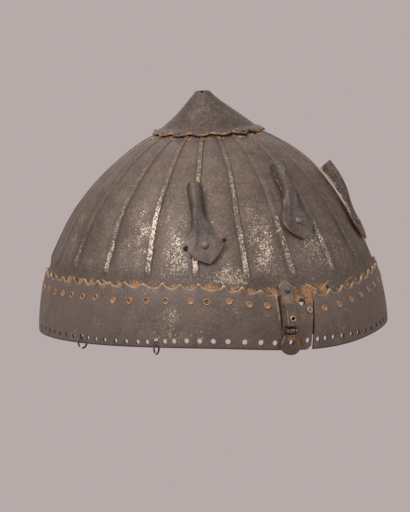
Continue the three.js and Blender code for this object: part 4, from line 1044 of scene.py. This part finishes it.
# A short strip with one slanting side, a rising corner and a foot that reaches behind the band's end
def buildFrontPlate():
    columns = 60
    share = np.linspace(0, 1, columns)
    start, end = radians(frontPlate["start"]), radians(frontPlate["end"])
    turn = between(start, end, share)
    slant = radians(frontPlate["slant"]) * share
    bottom = frontPlate["cornerRise"] * smoothStep((share - 0.80) / 0.2) ** 1.5
    ends = np.minimum(share, 1 - share) * (columns - 1)
    inset = np.where(ends < 1.5, 0.0002 * (1.5 - ends) / 1.5, 0.0)
    face = band["gap"] + band["thickness"]
    top = frontPlate["height"] - 0.0003 * waves(np.stack([turn, 0 * turn, 0 * turn], -1), 0.05, 51)
    lift = face - inset
    levels = stripLevels(top - 0.0004, lift, lift, band["thickness"] - inset, bottom, 40, 0.033)
    grid = []
    for height, lift in levels:
        tuck = radians(frontPlate["tuck"]) * (1 - share) * smoothStep((0.020 - height) / 0.008)
        grid.append(wall(turn - tuck - slant * (1 - height / frontPlate["height"]), height, lift))
    grid = np.stack(grid)
    holes = [wallSpot(*hole) for hole in frontPlate["mailHoles"]]
    holes.append(wallSpot(*bowl["frontHole"], level=True))
    heights = np.stack([height for height, lift in levels])
    smudges = np.clip(0.5 + 0.6 * waves(grid, 0.008, 52), 0, 1.1)
    near = nearestOf(grid, holes)
    rust = smoothStep((heights - 0.030) / 0.005) * (0.35 + 0.7 * smudges)
    rust += np.exp(-np.maximum(near - 0.0021, 0) / 0.001) * 0.35
    rightEdge = smoothStep((share - 0.93) / 0.07) + 0 * heights
    # Painted shade: dark round the holes' edges
    dark = np.exp(-np.maximum(near - 0.0021, 0) / 0.0004) * 0.5
    worn = np.clip(waves(grid, 0.012, 53) * 0.25, 0, 0.3)
    masks = {"rust": rust + rightEdge * 0.3, "dark": dark, "gold": rightEdge * 0.25 * smudges, "worn": worn}
    piece = loft("frontPlateSheet", grid, rowsRound=True, masks=masks)
    reshape(piece, closeEnds)
    punch(piece, holes, sides=20, depth=0.005)
    finishPiece(piece, "band_iron", agedIron("frontPlateIron", **frontPlate["iron"]), "front_plate")
    buildPlateRivets(face)


# The dished rivet beside the fitting, and the plug in the row of small holes
def buildPlateRivets(face):
    r = band["rivetRadius"]
    seat = face + 0.0003
    spot = wallSpot(frontPlate["rivetTurn"], frontPlate["rivetHeight"], r)
    dished = headRows(r, seat, frontPlate["head"])
    shank = rivetTail + [(0.0010, seat), (0.0009, seat + 0.0003)]
    rivet = joined("frontPlateRivetHead", [
        turnedForms("frontHead", [spot[:2]], dished, 24, marks=[0, 0.4, 0.9, 0.5, 0]),
        turnedForms("frontShank", [spot[:2]], shank, 16),
    ])
    finishPiece(rivet, "band_rivets", rivetBrass(), "front_plate_rivet")
    spot = wallSpot(frontPlate["plugTurn"], frontPlate["plugHeight"], frontPlate["plugRadius"])
    stud = [(0.0012, 0.0001), (0.0012, seat), (0.00180, seat), (0.00185, seat + 0.0002),
            (0.0016, seat + 0.0005), (0.0010, seat + 0.00066), (0.0004, seat + 0.0007)]
    plug = turnedForms("frontPlatePlug", [spot[:2]], stud, 24, tilt=0.05, seed=4)
    finishPiece(plug, "band_rivets", agedIron("plugIron", **frontPlate["plugIron"]), "front_plate_plug")


# Apex plate

apex = {
    "topHeight": 0.1535,
    "topRadius": 0.0049,
    "thickness": 0.0013,
    "bendRadius": 0.031,
    "troughRadius": 0.0335,
    "lobeDepth": 0.0033,
    "lobes": 15,
    "concavity": 1.15,
    "firstTurn": 6.0,
    "skirtLift": 0.00075,
    "notchTurn": -40.0,  # where the open top's edge is worn down
    "notchDepth": 0.0011,
    "rivets": 5,
    "rivetRadius": 0.0011,
    "iron": {"under": "apex", "deep": "deepApex", "worn": 0.1, "rust": 0.2},
    "rivetIron": {"under": "deepPatina", "deep": "dirtAndShade", "worn": 0.1, "rust": 0.3, "grain": 1.5},
}


# From the lobed edge the sheet lies on the bowl as far as the bend, then stands up as a hollow cone.
# Radius along the cone: top radius plus the rest times (1 - share) to the power of the concavity.
def buildApex():
    perLobe = 24
    count = apex["lobes"] * perLobe
    turn = radians(apex["firstTurn"]) + np.linspace(0, 2 * pi, count, endpoint=False)
    share = (np.arange(count) % perLobe) / perLobe
    chance = np.random.default_rng(61)
    size = np.repeat(chance.uniform(0.75, 1.0, apex["lobes"]), perLobe)
    lobe = np.abs(np.cos(pi * share)) ** 1.1 * np.where(share < 0.5, size, np.roll(size, -perLobe))
    cusp = bell((share - 0.5) / 0.04)
    edge = apex["troughRadius"] + apex["lobeDepth"] * lobe
    lift = apex["skirtLift"]
    thick = apex["thickness"]
    skirt = [skinFrame(turn, np.arccos(between(edge, apex["bendRadius"], step) / wallForm["halfWidth"]))
             for step in np.linspace(0, 1, 10)]
    bendClimb = acos(apex["bendRadius"] / wallForm["halfWidth"])
    bendHeight = float(wallPoint(0.0, bendClimb)[2]) + lift + thick
    rounded = [0.55, 0.9] + [1.0] * 8
    outer = [points + normals * (lift + thick * part) for part, (points, normals) in zip(rounded, skirt)]
    inner = [points + normals * lift for points, normals in skirt]
    notch = bell(wrapped(turn - radians(apex["notchTurn"])) / 0.16)
    for step in np.linspace(0, 1, 46)[1:]:
        radius = between(apex["topRadius"], apex["bendRadius"], (1 - step) ** apex["concavity"])
        height = between(bendHeight, apex["topHeight"], step)
        nearTop = smoothStep((height - apex["topHeight"] + 0.006) / 0.006)
        around = np.stack([np.cos(turn) * 0.03, np.sin(turn) * 0.03, height + 0 * turn], -1)
        worn = 0.00012 * waves(around, 0.02, 62)
        drop = (nearTop * (apex["notchDepth"] * notch + 0.0003 + worn))[:, None] * [0, 0, 1]
        outer.append(planPoint(turn, radius - 0.00015 + worn, height) - drop)
        inner.append(planPoint(turn, radius - thick, height) - drop)
    grid = np.stack(outer + inner[::-1])
    low = np.concatenate([np.linspace(1, 0, 10), np.zeros(45)])
    low = np.concatenate([low, low[::-1]])[:, None]
    up = np.concatenate([np.zeros(10), np.linspace(0, 1, 45)])
    up = np.concatenate([up, up[::-1]])[:, None]
    crumbs = np.clip(0.75 + 0.5 * waves(grid, 0.006, 63), 0, 1.2)
    # Pale on the side turned to the camera is a painted highlight up the cone; paler too towards the open top
    facing = bell(wrapped(turn - radians(-30)) / 0.35)[None, :]
    masks = {
        "rust": low ** 3 * crumbs * 0.8 + low ** 8 * cusp[None, :] * 0.8,
        "gold": low ** 12 * (0.35 + 0.65 * cusp[None, :]) * crumbs * 0.8,
        "pale": bell((up - 0.45) / 0.16) * facing * 0.35 + up ** 12 * 0.3,
        "dark": bell((low - 0.45) / 0.2) * 0.15,
    }
    piece = loft("apexCone", grid, rowsRound=True, columnsRound=True, sharp=40.0, masks=masks)
    finishPiece(piece, "apex_iron", agedIron("apexIron", **apex["iron"]), "apex_plate")
    buildApexRivets()


# Small flush rivets through every third lobe
def buildApexRivets():
    seatRadius = (apex["troughRadius"] * 2 + apex["lobeDepth"]) / 2
    seatHeight = float(wallPoint(0.0, acos(seatRadius / wallForm["halfWidth"]))[2])
    seat = apex["skirtLift"] + apex["thickness"] + 0.0003
    profile = [(0.0011, -0.0020), (0.0010, -0.0016), (0.00065, -0.0015), (0.00065, seat), (0.00110, seat),
               (0.00113, seat + 0.00012), (0.0009, seat + 0.00026), (0.0005, seat + 0.00034),
               (0.0002, seat + 0.00035)]
    darkIron = agedIron("apexRivetIron", **apex["rivetIron"])
    for order in range(apex["rivets"]):
        turn = apex["firstTurn"] + order * 360 / apex["rivets"]
        spot = wallSpot(turn, seatHeight, apex["rivetRadius"], level=True)
        number = str(order + 1)
        rivet = turnedForms("apexRivet" + number, [spot[:2]], profile, 18, tilt=0.02, seed=70 + order)
        finishPiece(rivet, "dark_rivets", darkIron, "apex_rivet_" + number)


# Plume holders

plume = {
    "holders": [
        {"name": "left", "turn": -35.0, "tip": 0.0500, "lean": -10.0, "rust": 0.2},
        {"name": "centre", "turn": 2.4, "tip": 0.0609, "lean": 2.7, "rust": 0.5},
        {"name": "right", "turn": 46.3, "tip": 0.0531, "lean": 2.7, "rust": 0.2},
    ],
    "length": 0.054,
    "walkSteps": 24,
    "leafHalfWidth": 0.0113,
    "depth": 0.0092,
    "thickness": 0.0012,
    "lift": 0.0013,
    "rivetShare": 0.235,
    "rivetRadius": 0.0025,
    "head": [(0.98, 0), (1, 1.5), (0.93, 4), (0.78, 7), (0.74, 9), (0.6, 11.5), (0.35, 12.7), (0.1, 13)],
    # shares of the length; of the way out to the leaf's half width; of the tube's depth
    "along": [0.0, 0.05, 0.13, 0.235, 0.30, 0.37, 0.49, 0.60, 0.75, 1.0],
    "width": [0.04, 0.40, 0.82, 1.0, 0.93, 0.78, 0.53, 0.41, 0.42, 0.455],
    "bend": [0.0, 0.0, 0.0, 0.0, 0.01, 0.06, 0.30, 0.62, 0.84, 1.0],
    "steel": {"under": "blueSteel", "deep": "deepSteel", "worn": 0.1, "rust": 0.05, "metal": 0.4,
              "roughness": 0.55, "grain": 1.2},
    "rivetIron": {"under": "plumeRivet", "deep": "darkRust", "worn": 0.2, "grain": 1.4},
}


# Walks up the skin from a holder's tip, its lean turning the path; gives turn and climb
def walkSkin(holder, distance):
    lean = radians(holder["lean"])
    stride = distance / plume["walkSteps"]
    climb = float(climbAt(holder["tip"]))
    turn = radians(holder["turn"])
    for step in range(plume["walkSteps"]):
        here = wallPoint(turn, climb)
        rise = np.linalg.norm(wallPoint(turn, climb + 0.001) - here) / 0.001
        across = np.linalg.norm(wallPoint(turn + 0.001, climb) - here) / 0.001
        climb += cos(lean) * stride / rise
        turn += sin(lean) * stride / across
    return turn, climb


# A leaf-shaped foot that curls up into an open half-round tube. Each row runs across the outer face
# and back along the inner one; the outer face has two creases that meet at the neck and part below it.
def buildPlumeHolder(holder, rustyInside):
    rows = np.concatenate([np.linspace(0, 0.03, 5)[:-1], np.linspace(0.03, 1, 60)])
    steps = 40
    side = np.linspace(-1, 1, steps + 1)
    outerGrid, innerGrid = [], []
    for along in rows:
        turn, climb = walkSkin(holder, plume["length"] * along)
        aheadTurn, aheadClimb = walkSkin(holder, plume["length"] * along + plume["thickness"])
        spot, normal = skinFrame(turn, climb)
        forward = wallPoint(aheadTurn, aheadClimb) - wallPoint(turn, climb)
        forward /= np.linalg.norm(forward)
        across = np.cross(forward, normal)
        across /= np.linalg.norm(across)
        halfWidth = plume["leafHalfWidth"] * curveThrough(along, plume["along"], plume["width"])
        halfWidth *= sqrt(min(along / 0.03, 1)) * 0.7 + 0.3
        depth = float(np.clip(curveThrough(along, plume["along"], plume["bend"]), 0, 1))
        arch = (plume["depth"] - plume["thickness"] - 0.0003) * depth
        angle = side * pi / 2
        places = halfWidth * (side * (1 - depth) + np.sin(angle) * depth)
        facet = np.minimum(1.0, (1 - np.abs(side)) / 0.5) ** 0.8
        roundness = smoothStep((along - 0.45) / 0.35)
        rises = arch * (facet * (1 - roundness) + np.cos(angle) * roundness)
        ridgeAt = np.interp(along, [0.0, 0.235, 0.46], [0.75, 0.62, 0.35])
        ridge = bell((np.abs(side) - ridgeAt) / 0.10) * smoothStep((along - 0.12) / 0.15)
        rises = rises + 0.00055 * ridge * (1 - smoothStep((along - 0.4) / 0.2)) * (1 - np.abs(side) ** 6)
        rounding = np.clip((np.abs(side) - 0.93) / 0.07, 0, 1) ** 2 * 0.35
        slopeSide, slopeRise = np.gradient(places), np.gradient(rises)
        size = np.hypot(slopeSide, slopeRise)
        slopeSide, slopeRise = slopeSide / size, slopeRise / size
        thick = plume["thickness"]
        base = spot + normal * plume["lift"]
        outerRise = rises + thick * (1 - rounding)
        innerSide = places + slopeRise * thick
        innerRise = rises + thick - slopeSide * thick
        outerGrid.append(base + across * places[:, None] + normal * outerRise[:, None])
        innerGrid.append(base + across * innerSide[:, None] + normal * innerRise[:, None])
    grid = np.concatenate([np.array(outerGrid), np.array(innerGrid)[:, ::-1]], 1)
    along = rows[:, None] + 0 * grid[..., 0]
    sides = np.concatenate([side, side[::-1]])[None, :] + 0 * along
    inside = np.concatenate([np.zeros(steps + 1), np.ones(steps + 1)])[None, :] + 0 * along
    ridgeAt = np.interp(along, [0.0, 0.235, 0.46, 0.6, 1.0], [0.75, 0.62, 0.35, 0.25, 0.35])
    crease = bell((sides + ridgeAt) / 0.09) + 0.5 * bell((sides - ridgeAt) / 0.09)
    rim = smoothStep((np.abs(sides) - 0.9) / 0.1) + smoothStep((along - 0.975) / 0.02)
    smudges = np.clip(0.6 + 0.5 * waves(grid, 0.008, 81), 0, 1)
    leftRust = 0.55 * smoothStep((-sides - 0.35) / 0.3) * smudges if rustyInside else 0.0
    # Pale along the creases, more on the left one, and round the rims is a painted highlight; dark inside is
    # painted shade
    masks = {
        "pale": (crease * smoothStep((along - 0.12) / 0.15) * 0.5 + rim * 0.35 * (1 - inside)) * smudges,
        "rust": inside * (1.1 if rustyInside else 0.6) + rim * smudges + leftRust,
        "dark": inside * 0.25 + 0 * along,
    }
    name = "plumeHolder" + holder["name"].capitalize()
    piece = loft(name, grid, columnsRound=True, capped=True, masks=masks)
    if holder["name"] == "left":
        punch(piece, [wallSpot(*hole, level=True) for hole in bowl["bareHoles"]], sides=22, depth=0.006)
    steel = agedIron(name + "Steel", **plume["steel"])
    finishPiece(piece, "plume_iron", steel, "plume_holder_" + holder["name"])
    buildPlumeRivet(holder, name + "Rivet")


# One stepped round head in each leaf
def buildPlumeRivet(holder, name):
    turn, climb = walkSkin(holder, plume["length"] * plume["rivetShare"])
    spot, normal = skinFrame(turn, climb)
    seat = plume["lift"] + plume["thickness"] + 0.0003
    profile = rivetTail + [(0.0010, seat)] + headRows(plume["rivetRadius"], seat, plume["head"])
    # Marks: a pale ring on the head's shoulder, wear and a painted highlight
    marks = [0, 0, 0, 0, 0.3, 0.5, 0.3, 0.0, 0.5, 0.6, 0.5, 0.4]
    rivet = turnedForms(name, [(spot, normal)], profile, 28, tilt=0.03, seed=5, marks=marks)
    iron = agedIron(name + "Iron", **plume["rivetIron"], rust=holder["rust"])
    finishPiece(rivet, "dark_rivets", iron, "plume_holder_" + holder["name"] + "_rivet")


# Fitting

fitting = {
    "turn": -10.4,
    "seat": 0.0021,
    "strapTop": 0.0376,
    "strapHalfWidth": 0.0049,
    "strapWaist": 0.0040,
    "strapThickness": 0.0014,
    "jogHeight": 0.0303,
    "jogLength": 0.0022,
    "rivetTurn": -9.4,
    "rivetHeight": 0.0323,
    "rivetRadius": 0.0024,
    "head": [(0.98, 0), (1, 1.5), (0.9, 4), (0.7, 6), (0.4, 6.9), (0.1, 7)],
    "boxBottom": 0.0094,
    "boxTop": 0.0234,
    "boxHalfWidth": 0.0037,
    "boxDepth": 0.0062,
    "boxWall": 0.0013,
    "eyeletHeight": 0.0140,
    "eyeletRadius": 0.0021,
    "eyeletBore": 0.0011,
    "hingeHeight": 0.0071,
    "barrelRadius": 0.0019,
    "barrelHalf": 0.0018,
    "outerBarrel": 0.0017,
    "pinRadius": 0.00075,
    "leafBottom": -0.0081,
    "leafTopHalf": 0.0042,
    "leafHalf": 0.0063,
    "leafThickness": 0.0013,
    "leafSpread": 0.2,  # how much wider its left side is, as a share
    "leafStandOff": 0.0004,
    "headAside": 0.0009,  # how far the strap's head stands to one side
    "leafHole": 0.00165,
    "iron": {"under": "fitting", "deep": "deepFitting", "worn": 0.35, "rust": 0.4,
             "roughness": 0.5, "grain": 1.2},
    "leafIron": {"under": "leaf", "deep": "deepLeaf", "worn": 0.25, "rust": 0.5,
                 "roughness": 0.5, "grain": 1.2},
    "rivetIron": {"under": "strapRivet", "deep": "dirtAndShade", "worn": 0.3, "rust": 0.35, "grain": 1.5},
    "brass": {"under": "brass", "deep": "deepBrass", "worn": 0.3, "rust": 0.1,
              "metal": 0.8, "roughness": 0.35, "grain": 1.6},
    # tone, the line's two ends as distances sideways and heights, its lift off the skin and half width
    # The edge lines are painted highlights on the lit edges and the barrel; the dark lines are painted
    # shadows under the box and right of the strap
    "lines": [("edge", (-0.0031, 0.0104), (-0.0031, 0.0205), 0.0080, 0.0003),
              ("rust", (-0.0046, 0.0238), (0.0032, 0.0238), 0.0060, 0.0005),
              ("warm", (-0.0028, 0.0262), (0.0012, 0.0262), 0.0030, 0.0026),
              ("darkRust", (-0.0047, 0.0290), (-0.0047, 0.0338), 0.0014, 0.0006),
              ("edge", (-0.0047, 0.0338), (-0.0022, 0.0372), 0.0014, 0.0003),
              ("dirtAndShade", (0.0020, 0.0374), (0.0044, 0.0345), 0.0014, 0.0005),
              ("dirtAndShade", (0.0048, 0.0340), (0.0048, 0.0296), 0.0014, 0.0005),
              ("dirtAndShade", (-0.0036, 0.0092), (0.0036, 0.0092), 0.0060, 0.0005),
              ("edge", (-0.0018, 0.0076), (0.0018, 0.0076), 0.0059, 0.0006)],
    # On the leaf the edge lines are painted highlights on its left edge and knuckles; the dark line is a
    # painted shadow under the barrel
    "leafLines": [("rust", (-0.0028, 0.0032), (0.0026, 0.0030), 0.0038, 0.0022),
                  ("edge", (-0.0042, 0.0046), (-0.0060, -0.0010), 0.0038, 0.0004),
                  ("edge", (-0.0036, 0.0076), (-0.0021, 0.0076), 0.0059, 0.0006),
                  ("edge", (0.0021, 0.0076), (0.0036, 0.0076), 0.0059, 0.0006),
                  ("dirtAndShade", (-0.0036, 0.0056), (0.0036, 0.0054), 0.0050, 0.0004)],
}


# A point of the fitting: a distance sideways from its middle line, a height and a lift off the skin.
# The strap's head stands a little to one side.
def fittingPoint(side, height, lift):
    side = side + fitting["headAside"] * smoothStep((height - 0.024) / 0.009)
    climb = climbAt(height)
    turn = radians(fitting["turn"])
    step = wallPoint(turn + 0.001, climb) - wallPoint(turn + 0 * climb, climb)
    around = np.linalg.norm(step, axis=-1) / 0.001
    return skin(turn + side / around, height, lift)


# The hinge's middle, its axis, and the way out from it
def hingeFrame():
    turn = np.array(radians(fitting["turn"]))
    outward = skinFrame(turn, climbAt(np.array(0.0)))[1]
    across = np.cross([0, 0, 1.0], outward)
    across /= np.linalg.norm(across)
    lift = fitting["seat"] + fitting["barrelRadius"]
    place = skin(turn, np.array(fitting["hingeHeight"]), np.array(lift))
    return place, across, np.cross(across, [0, 0, 1.0])


# A point of the leaf's own flat plane
def leafPoint(side, height, lift):
    place, across, outward = hingeFrame()
    away = lift - fitting["seat"] - fitting["barrelRadius"]
    side = np.where(side < 0, side * (1 + fitting["leafSpread"] * smoothStep((0.006 - height) / 0.006)), side)
    points = place + across * side[..., None] + outward * away[..., None]
    points[..., 2] = height
    return points


# Rows of a bar that narrow to a round end
def roundEnd(centre, halfWidth, upward, inner, outer):
    return [(centre + upward * halfWidth * sin(angle), halfWidth * cos(angle), inner, outer)
            for angle in np.radians(np.linspace(0, 82, 10))]


# A knuckle of the hinge: a ring along its axis with rounded shoulders
def buildBarrel(name, start, end, body="helmet"):
    place, across = hingeFrame()[:2]
    r, bore = fitting["barrelRadius"], fitting["pinRadius"] + 0.0003
    profile = [(bore, start), (r * 0.86, start), (r * 0.97, start + 0.0001), (r, start + 0.0003),
               (r, end - 0.0003), (r * 0.97, end - 0.0001), (r * 0.86, end), (bore, end)]
    return turnedRing(name, place, across, profile, 28, body=body)


# The painted lines of a piece of the fitting: rust, painted highlights and painted shadows, as places along X
# and up
def paintedLines(lines, place):
    spots = []
    for tint, start, end, lift, width in lines:
        sides, heights = np.array([start, end]).T
        points = place(sides, heights, np.full(2, lift))
        spots.append((tint, "X", (points[0][0], points[0][2]), (points[1][0], points[1][2]), width))
    return spots


# The strap steps out from its round head to the box; the box is a bar with a hollow and a bore
def buildFitting():
    seat, thick = fitting["seat"], fitting["strapThickness"]
    low, high = fitting["jogHeight"] - fitting["jogLength"], fitting["jogHeight"]
    strap = [(fitting["hingeHeight"], fitting["barrelHalf"], seat, seat + thick),
             (fitting["boxBottom"], fitting["barrelHalf"], seat, seat + thick),
             (fitting["boxBottom"] + 0.0003, fitting["strapWaist"], seat, seat + thick),
             (fitting["boxTop"], fitting["strapWaist"], seat, seat + thick)]
    for share in np.linspace(0, 1, 7):
        eased = float(smoothStep(share))
        inner = between(seat, 0.0003, eased)
        half = between(fitting["strapWaist"], fitting["strapHalfWidth"], eased)
        strap.append((between(low, high, share), half, inner, inner + thick))
    centre = fitting["strapTop"] - fitting["strapHalfWidth"]
    strap += roundEnd(centre, fitting["strapHalfWidth"], 1, 0.0003, 0.0003 + thick)
    pieces = [bar("strap", fittingPoint, strap, 0.00035)]
    half = fitting["boxHalfWidth"]
    deep = seat + fitting["boxDepth"]
    foot, head = fitting["boxBottom"], fitting["boxTop"]
    box = [(foot, half, seat, deep - 0.0004), (foot + 0.0008, half, seat, deep)]
    box += [(height, half, seat, deep) for height in np.linspace(foot + 0.002, head - 0.002, 6)]
    box += [(head - 0.0008, half, seat, deep), (head, half, seat, deep - 0.0004)]
    block = bar("box", fittingPoint, box, 0.0009)
    wallSize = fitting["boxWall"]
    hollowRows = np.array([(foot + wallSize, half - wallSize, -0.001, deep - wallSize),
                           (head - wallSize, half - wallSize, -0.001, deep - wallSize)])
    across, lifts = roundedLoop(hollowRows[:, 1], hollowRows[:, 2], hollowRows[:, 3], np.full(2, 0.0004))
    hollow = loft("hollow", fittingPoint(across, np.broadcast_to(hollowRows[:, :1], across.shape), lifts),
                  columnsRound=True, capped=True)
    carve(block, hollow)
    turn = np.array(radians(fitting["turn"]))
    eyePoint, eyeNormal = skinFrame(turn, climbAt(np.array(fitting["eyeletHeight"])))
    punch(block, [(eyePoint + eyeNormal * deep, eyeNormal, 0.00185)], sides=24, depth=0.0015)
    pieces.append(block)
    pieces.append(buildBarrel("barrel", -fitting["barrelHalf"], fitting["barrelHalf"]))
    base = joined("fittingBase", pieces)
    lines = paintedLines(fitting["lines"], fittingPoint)
    iron = agedIron("fittingIron", **fitting["iron"], scratchesAndPaintedLight=lines)
    finishPiece(base, "fitting_iron", iron, "fitting_base")
    buildEyelet(eyePoint, eyeNormal, deep)
    buildLeaf()
    buildPinAndRivet()


# A short tube with a rolled lip
def buildEyelet(point, normal, deep):
    bore, out = fitting["eyeletBore"], fitting["eyeletRadius"]
    lip = deep + 0.0003
    profile = [(bore, deep - 0.0016), (bore, lip + 0.00025), (bore + 0.00015, lip + 0.0004),
               (bore + 0.0005, lip + 0.00045), (out - 0.0002, lip + 0.0003), (out, lip + 0.0001),
               (out, lip), (bore + 0.00045, lip), (bore + 0.00045, deep - 0.0016)]
    piece = turnedRing("fittingEyelet", point, normal, profile, 28)
    finishPiece(piece, "brass", agedIron("eyeletBrass", **fitting["brass"]), "fitting_eyelet")


# The leaf widens from its two knuckles to a round foot with one hole
def buildLeaf():
    inner = fitting["seat"] + fitting["leafStandOff"]
    outer = inner + fitting["leafThickness"]
    top = fitting["hingeHeight"] - fitting["barrelRadius"] - 0.0003
    centre = fitting["leafBottom"] + fitting["leafHalf"]
    rows = []
    for share in np.linspace(0, 1, 7)[:-1]:
        half = between(fitting["leafTopHalf"], fitting["leafHalf"], float(smoothStep(share) ** 0.8))
        rows.append((between(top, centre, share), half, inner, outer))
    rows += roundEnd(centre, fitting["leafHalf"], -1, inner, outer)
    plate = bar("leafPlate", leafPoint, rows, 0.00035, body="leaf")
    hole = wallSpot(fitting["turn"], band["mailHeight"], fitting["leafHole"])
    punch(plate, [hole], sides=24, depth=0.006)
    pieces = [plate]
    near = fitting["barrelHalf"] + 0.0003
    far = near + fitting["outerBarrel"]
    for side in (-1, 1):
        start, end = (near, far) if side > 0 else (-far, -near)
        pieces.append(buildBarrel("ear", start, end, body="leaf"))
        middle, half = (start + end) / 2, (end - start) / 2
        web = [(fitting["hingeHeight"] - fitting["barrelRadius"] - 0.0008, half, inner, outer),
               (fitting["hingeHeight"] - 0.0015, half, inner, outer),
               (fitting["hingeHeight"] - 0.0012, half, inner, outer)]
        place = lambda across, height, lift: leafPoint(across + middle, height, lift)
        pieces.append(bar("web", place, web, 0.0002, body="leaf"))
    leaf = joined("fittingLeaf", pieces)
    lines = paintedLines(fitting["leafLines"], leafPoint)
    iron = agedIron("leafIron", **fitting["leafIron"], scratchesAndPaintedLight=lines)
    finishPiece(leaf, "fitting_iron", iron, "fitting_leaf")


# The pin has a small head at each end; the strap's rivet is a low dome
def buildPinAndRivet():
    place, across = hingeFrame()[:2]
    end = fitting["barrelHalf"] + fitting["outerBarrel"] + 0.0006
    r = fitting["pinRadius"]
    profile = [(0.0009, -end - 0.0005), (0.0013, -end - 0.0003), (0.0013, -end), (r, -end), (r, end),
               (0.0013, end), (0.0013, end + 0.0003), (0.0009, end + 0.0005)]
    darkIron = agedIron("fittingRivetIron", **fitting["rivetIron"])
    pin = turnedForms("hingePin", [(place, across)], profile, 20)
    finishPiece(pin, "dark_rivets", darkIron, "fitting_hinge_pin")
    seat = fitting["strapThickness"] + 0.0006
    r = fitting["rivetRadius"]
    spot = wallSpot(fitting["rivetTurn"], fitting["rivetHeight"], r, level=True)
    profile = rivetTail + [(0.0010, seat)] + headRows(r, seat, fitting["head"])
    marks = [0, 0, 0, 0, 0.2, 0.5, 0.3, 0.2, 0.5, 0.6]
    rivet = turnedForms("strapRivet", [spot[:2]], profile, 26, tilt=0.03, seed=6, marks=marks)
    finishPiece(rivet, "dark_rivets", darkIron, "fitting_rivet")


# Mail links

linkForm = {
    "links": [
        {"node": "mail_link_rear", "name": "mailLinkRear", "turn": 277.7, "radius": 0.0034, "gap": 34.0,
         "body": "rear_link", "seed": 3},
        {"node": "mail_link_front", "name": "mailLinkFront", "turn": 306.3, "radius": 0.0039, "gap": 26.0,
         "body": "front_link", "seed": 4},
    ],
    "wire": 0.00055,
    "hungWire": 0.00058,  # the solid's wire and the solid band, which place the link's middle
    "hungBand": 0.0015,
    "iron": {"under": "wire", "deep": "deepWire", "worn": 0.3, "rust": 0.4, "metal": 0.6, "roughness": 0.45,
             "grain": 1.6},
}


# An open ring of wire hung through a rim hole, in the upright plane that looks out from the wall
def buildLink(link):
    turn = radians(link["turn"])
    edge = float(sunk(turn, 0.0))
    outward = skinFrame(np.array(turn), climbAt(np.array(0.0)))[1]
    inRadius = link["radius"] - linkForm["hungWire"] - band["gap"]
    halfBand = linkForm["hungBand"] / 2
    drop = sqrt(inRadius ** 2 - halfBand ** 2) - (band["mailHeight"] - band["mailRadius"])
    middle = skin(np.array(turn), np.array(edge), np.array(band["gap"] + halfBand))
    centre = np.array([middle[0], middle[1], edge - drop])
    up = np.array([0, 0, 1.0])
    across = np.cross(up, outward)
    across /= np.linalg.norm(across)
    gap = radians(link["gap"])
    share = np.linspace(0, 1, 56)
    angle = gap / 2 + (2 * pi - gap) * share - radians(60)
    chance = np.random.default_rng(link["seed"])
    wobble = 0.00006 * np.sin(angle * 3 + chance.uniform(0, 6))
    ends = np.minimum(share, 1 - share)
    uneven = 1 + 0.04 * np.sin(angle * 5 + chance.uniform(0, 6))
    thick = linkForm["wire"] * (0.72 + 0.28 * smoothStep(ends / 0.05)) * uneven
    spoke = np.cos(angle)[:, None] * outward + np.sin(angle)[:, None] * up
    section = np.linspace(0, 2 * pi, 14, endpoint=False)
    reach = link["radius"] + wobble[:, None] + thick[:, None] * np.cos(section)
    sideways = thick[:, None] * np.sin(section)
    grid = centre + spoke[:, None, :] * reach[..., None] + across * sideways[..., None]
    piece = loft(link["name"], grid, columnsRound=True, capped=True, body=link["body"])
    finishPiece(piece, "link_wire", agedIron(link["name"] + "Wire", **linkForm["iron"]), link["node"])


buildCamera()
buildStage()
buildLights()
buildBowl()
buildBand()
buildFrontPlate()
buildApex()
for holder in plume["holders"]:
    buildPlumeHolder(holder, holder["name"] == "right")
buildFitting()
for link in linkForm["links"]:
    buildLink(link)
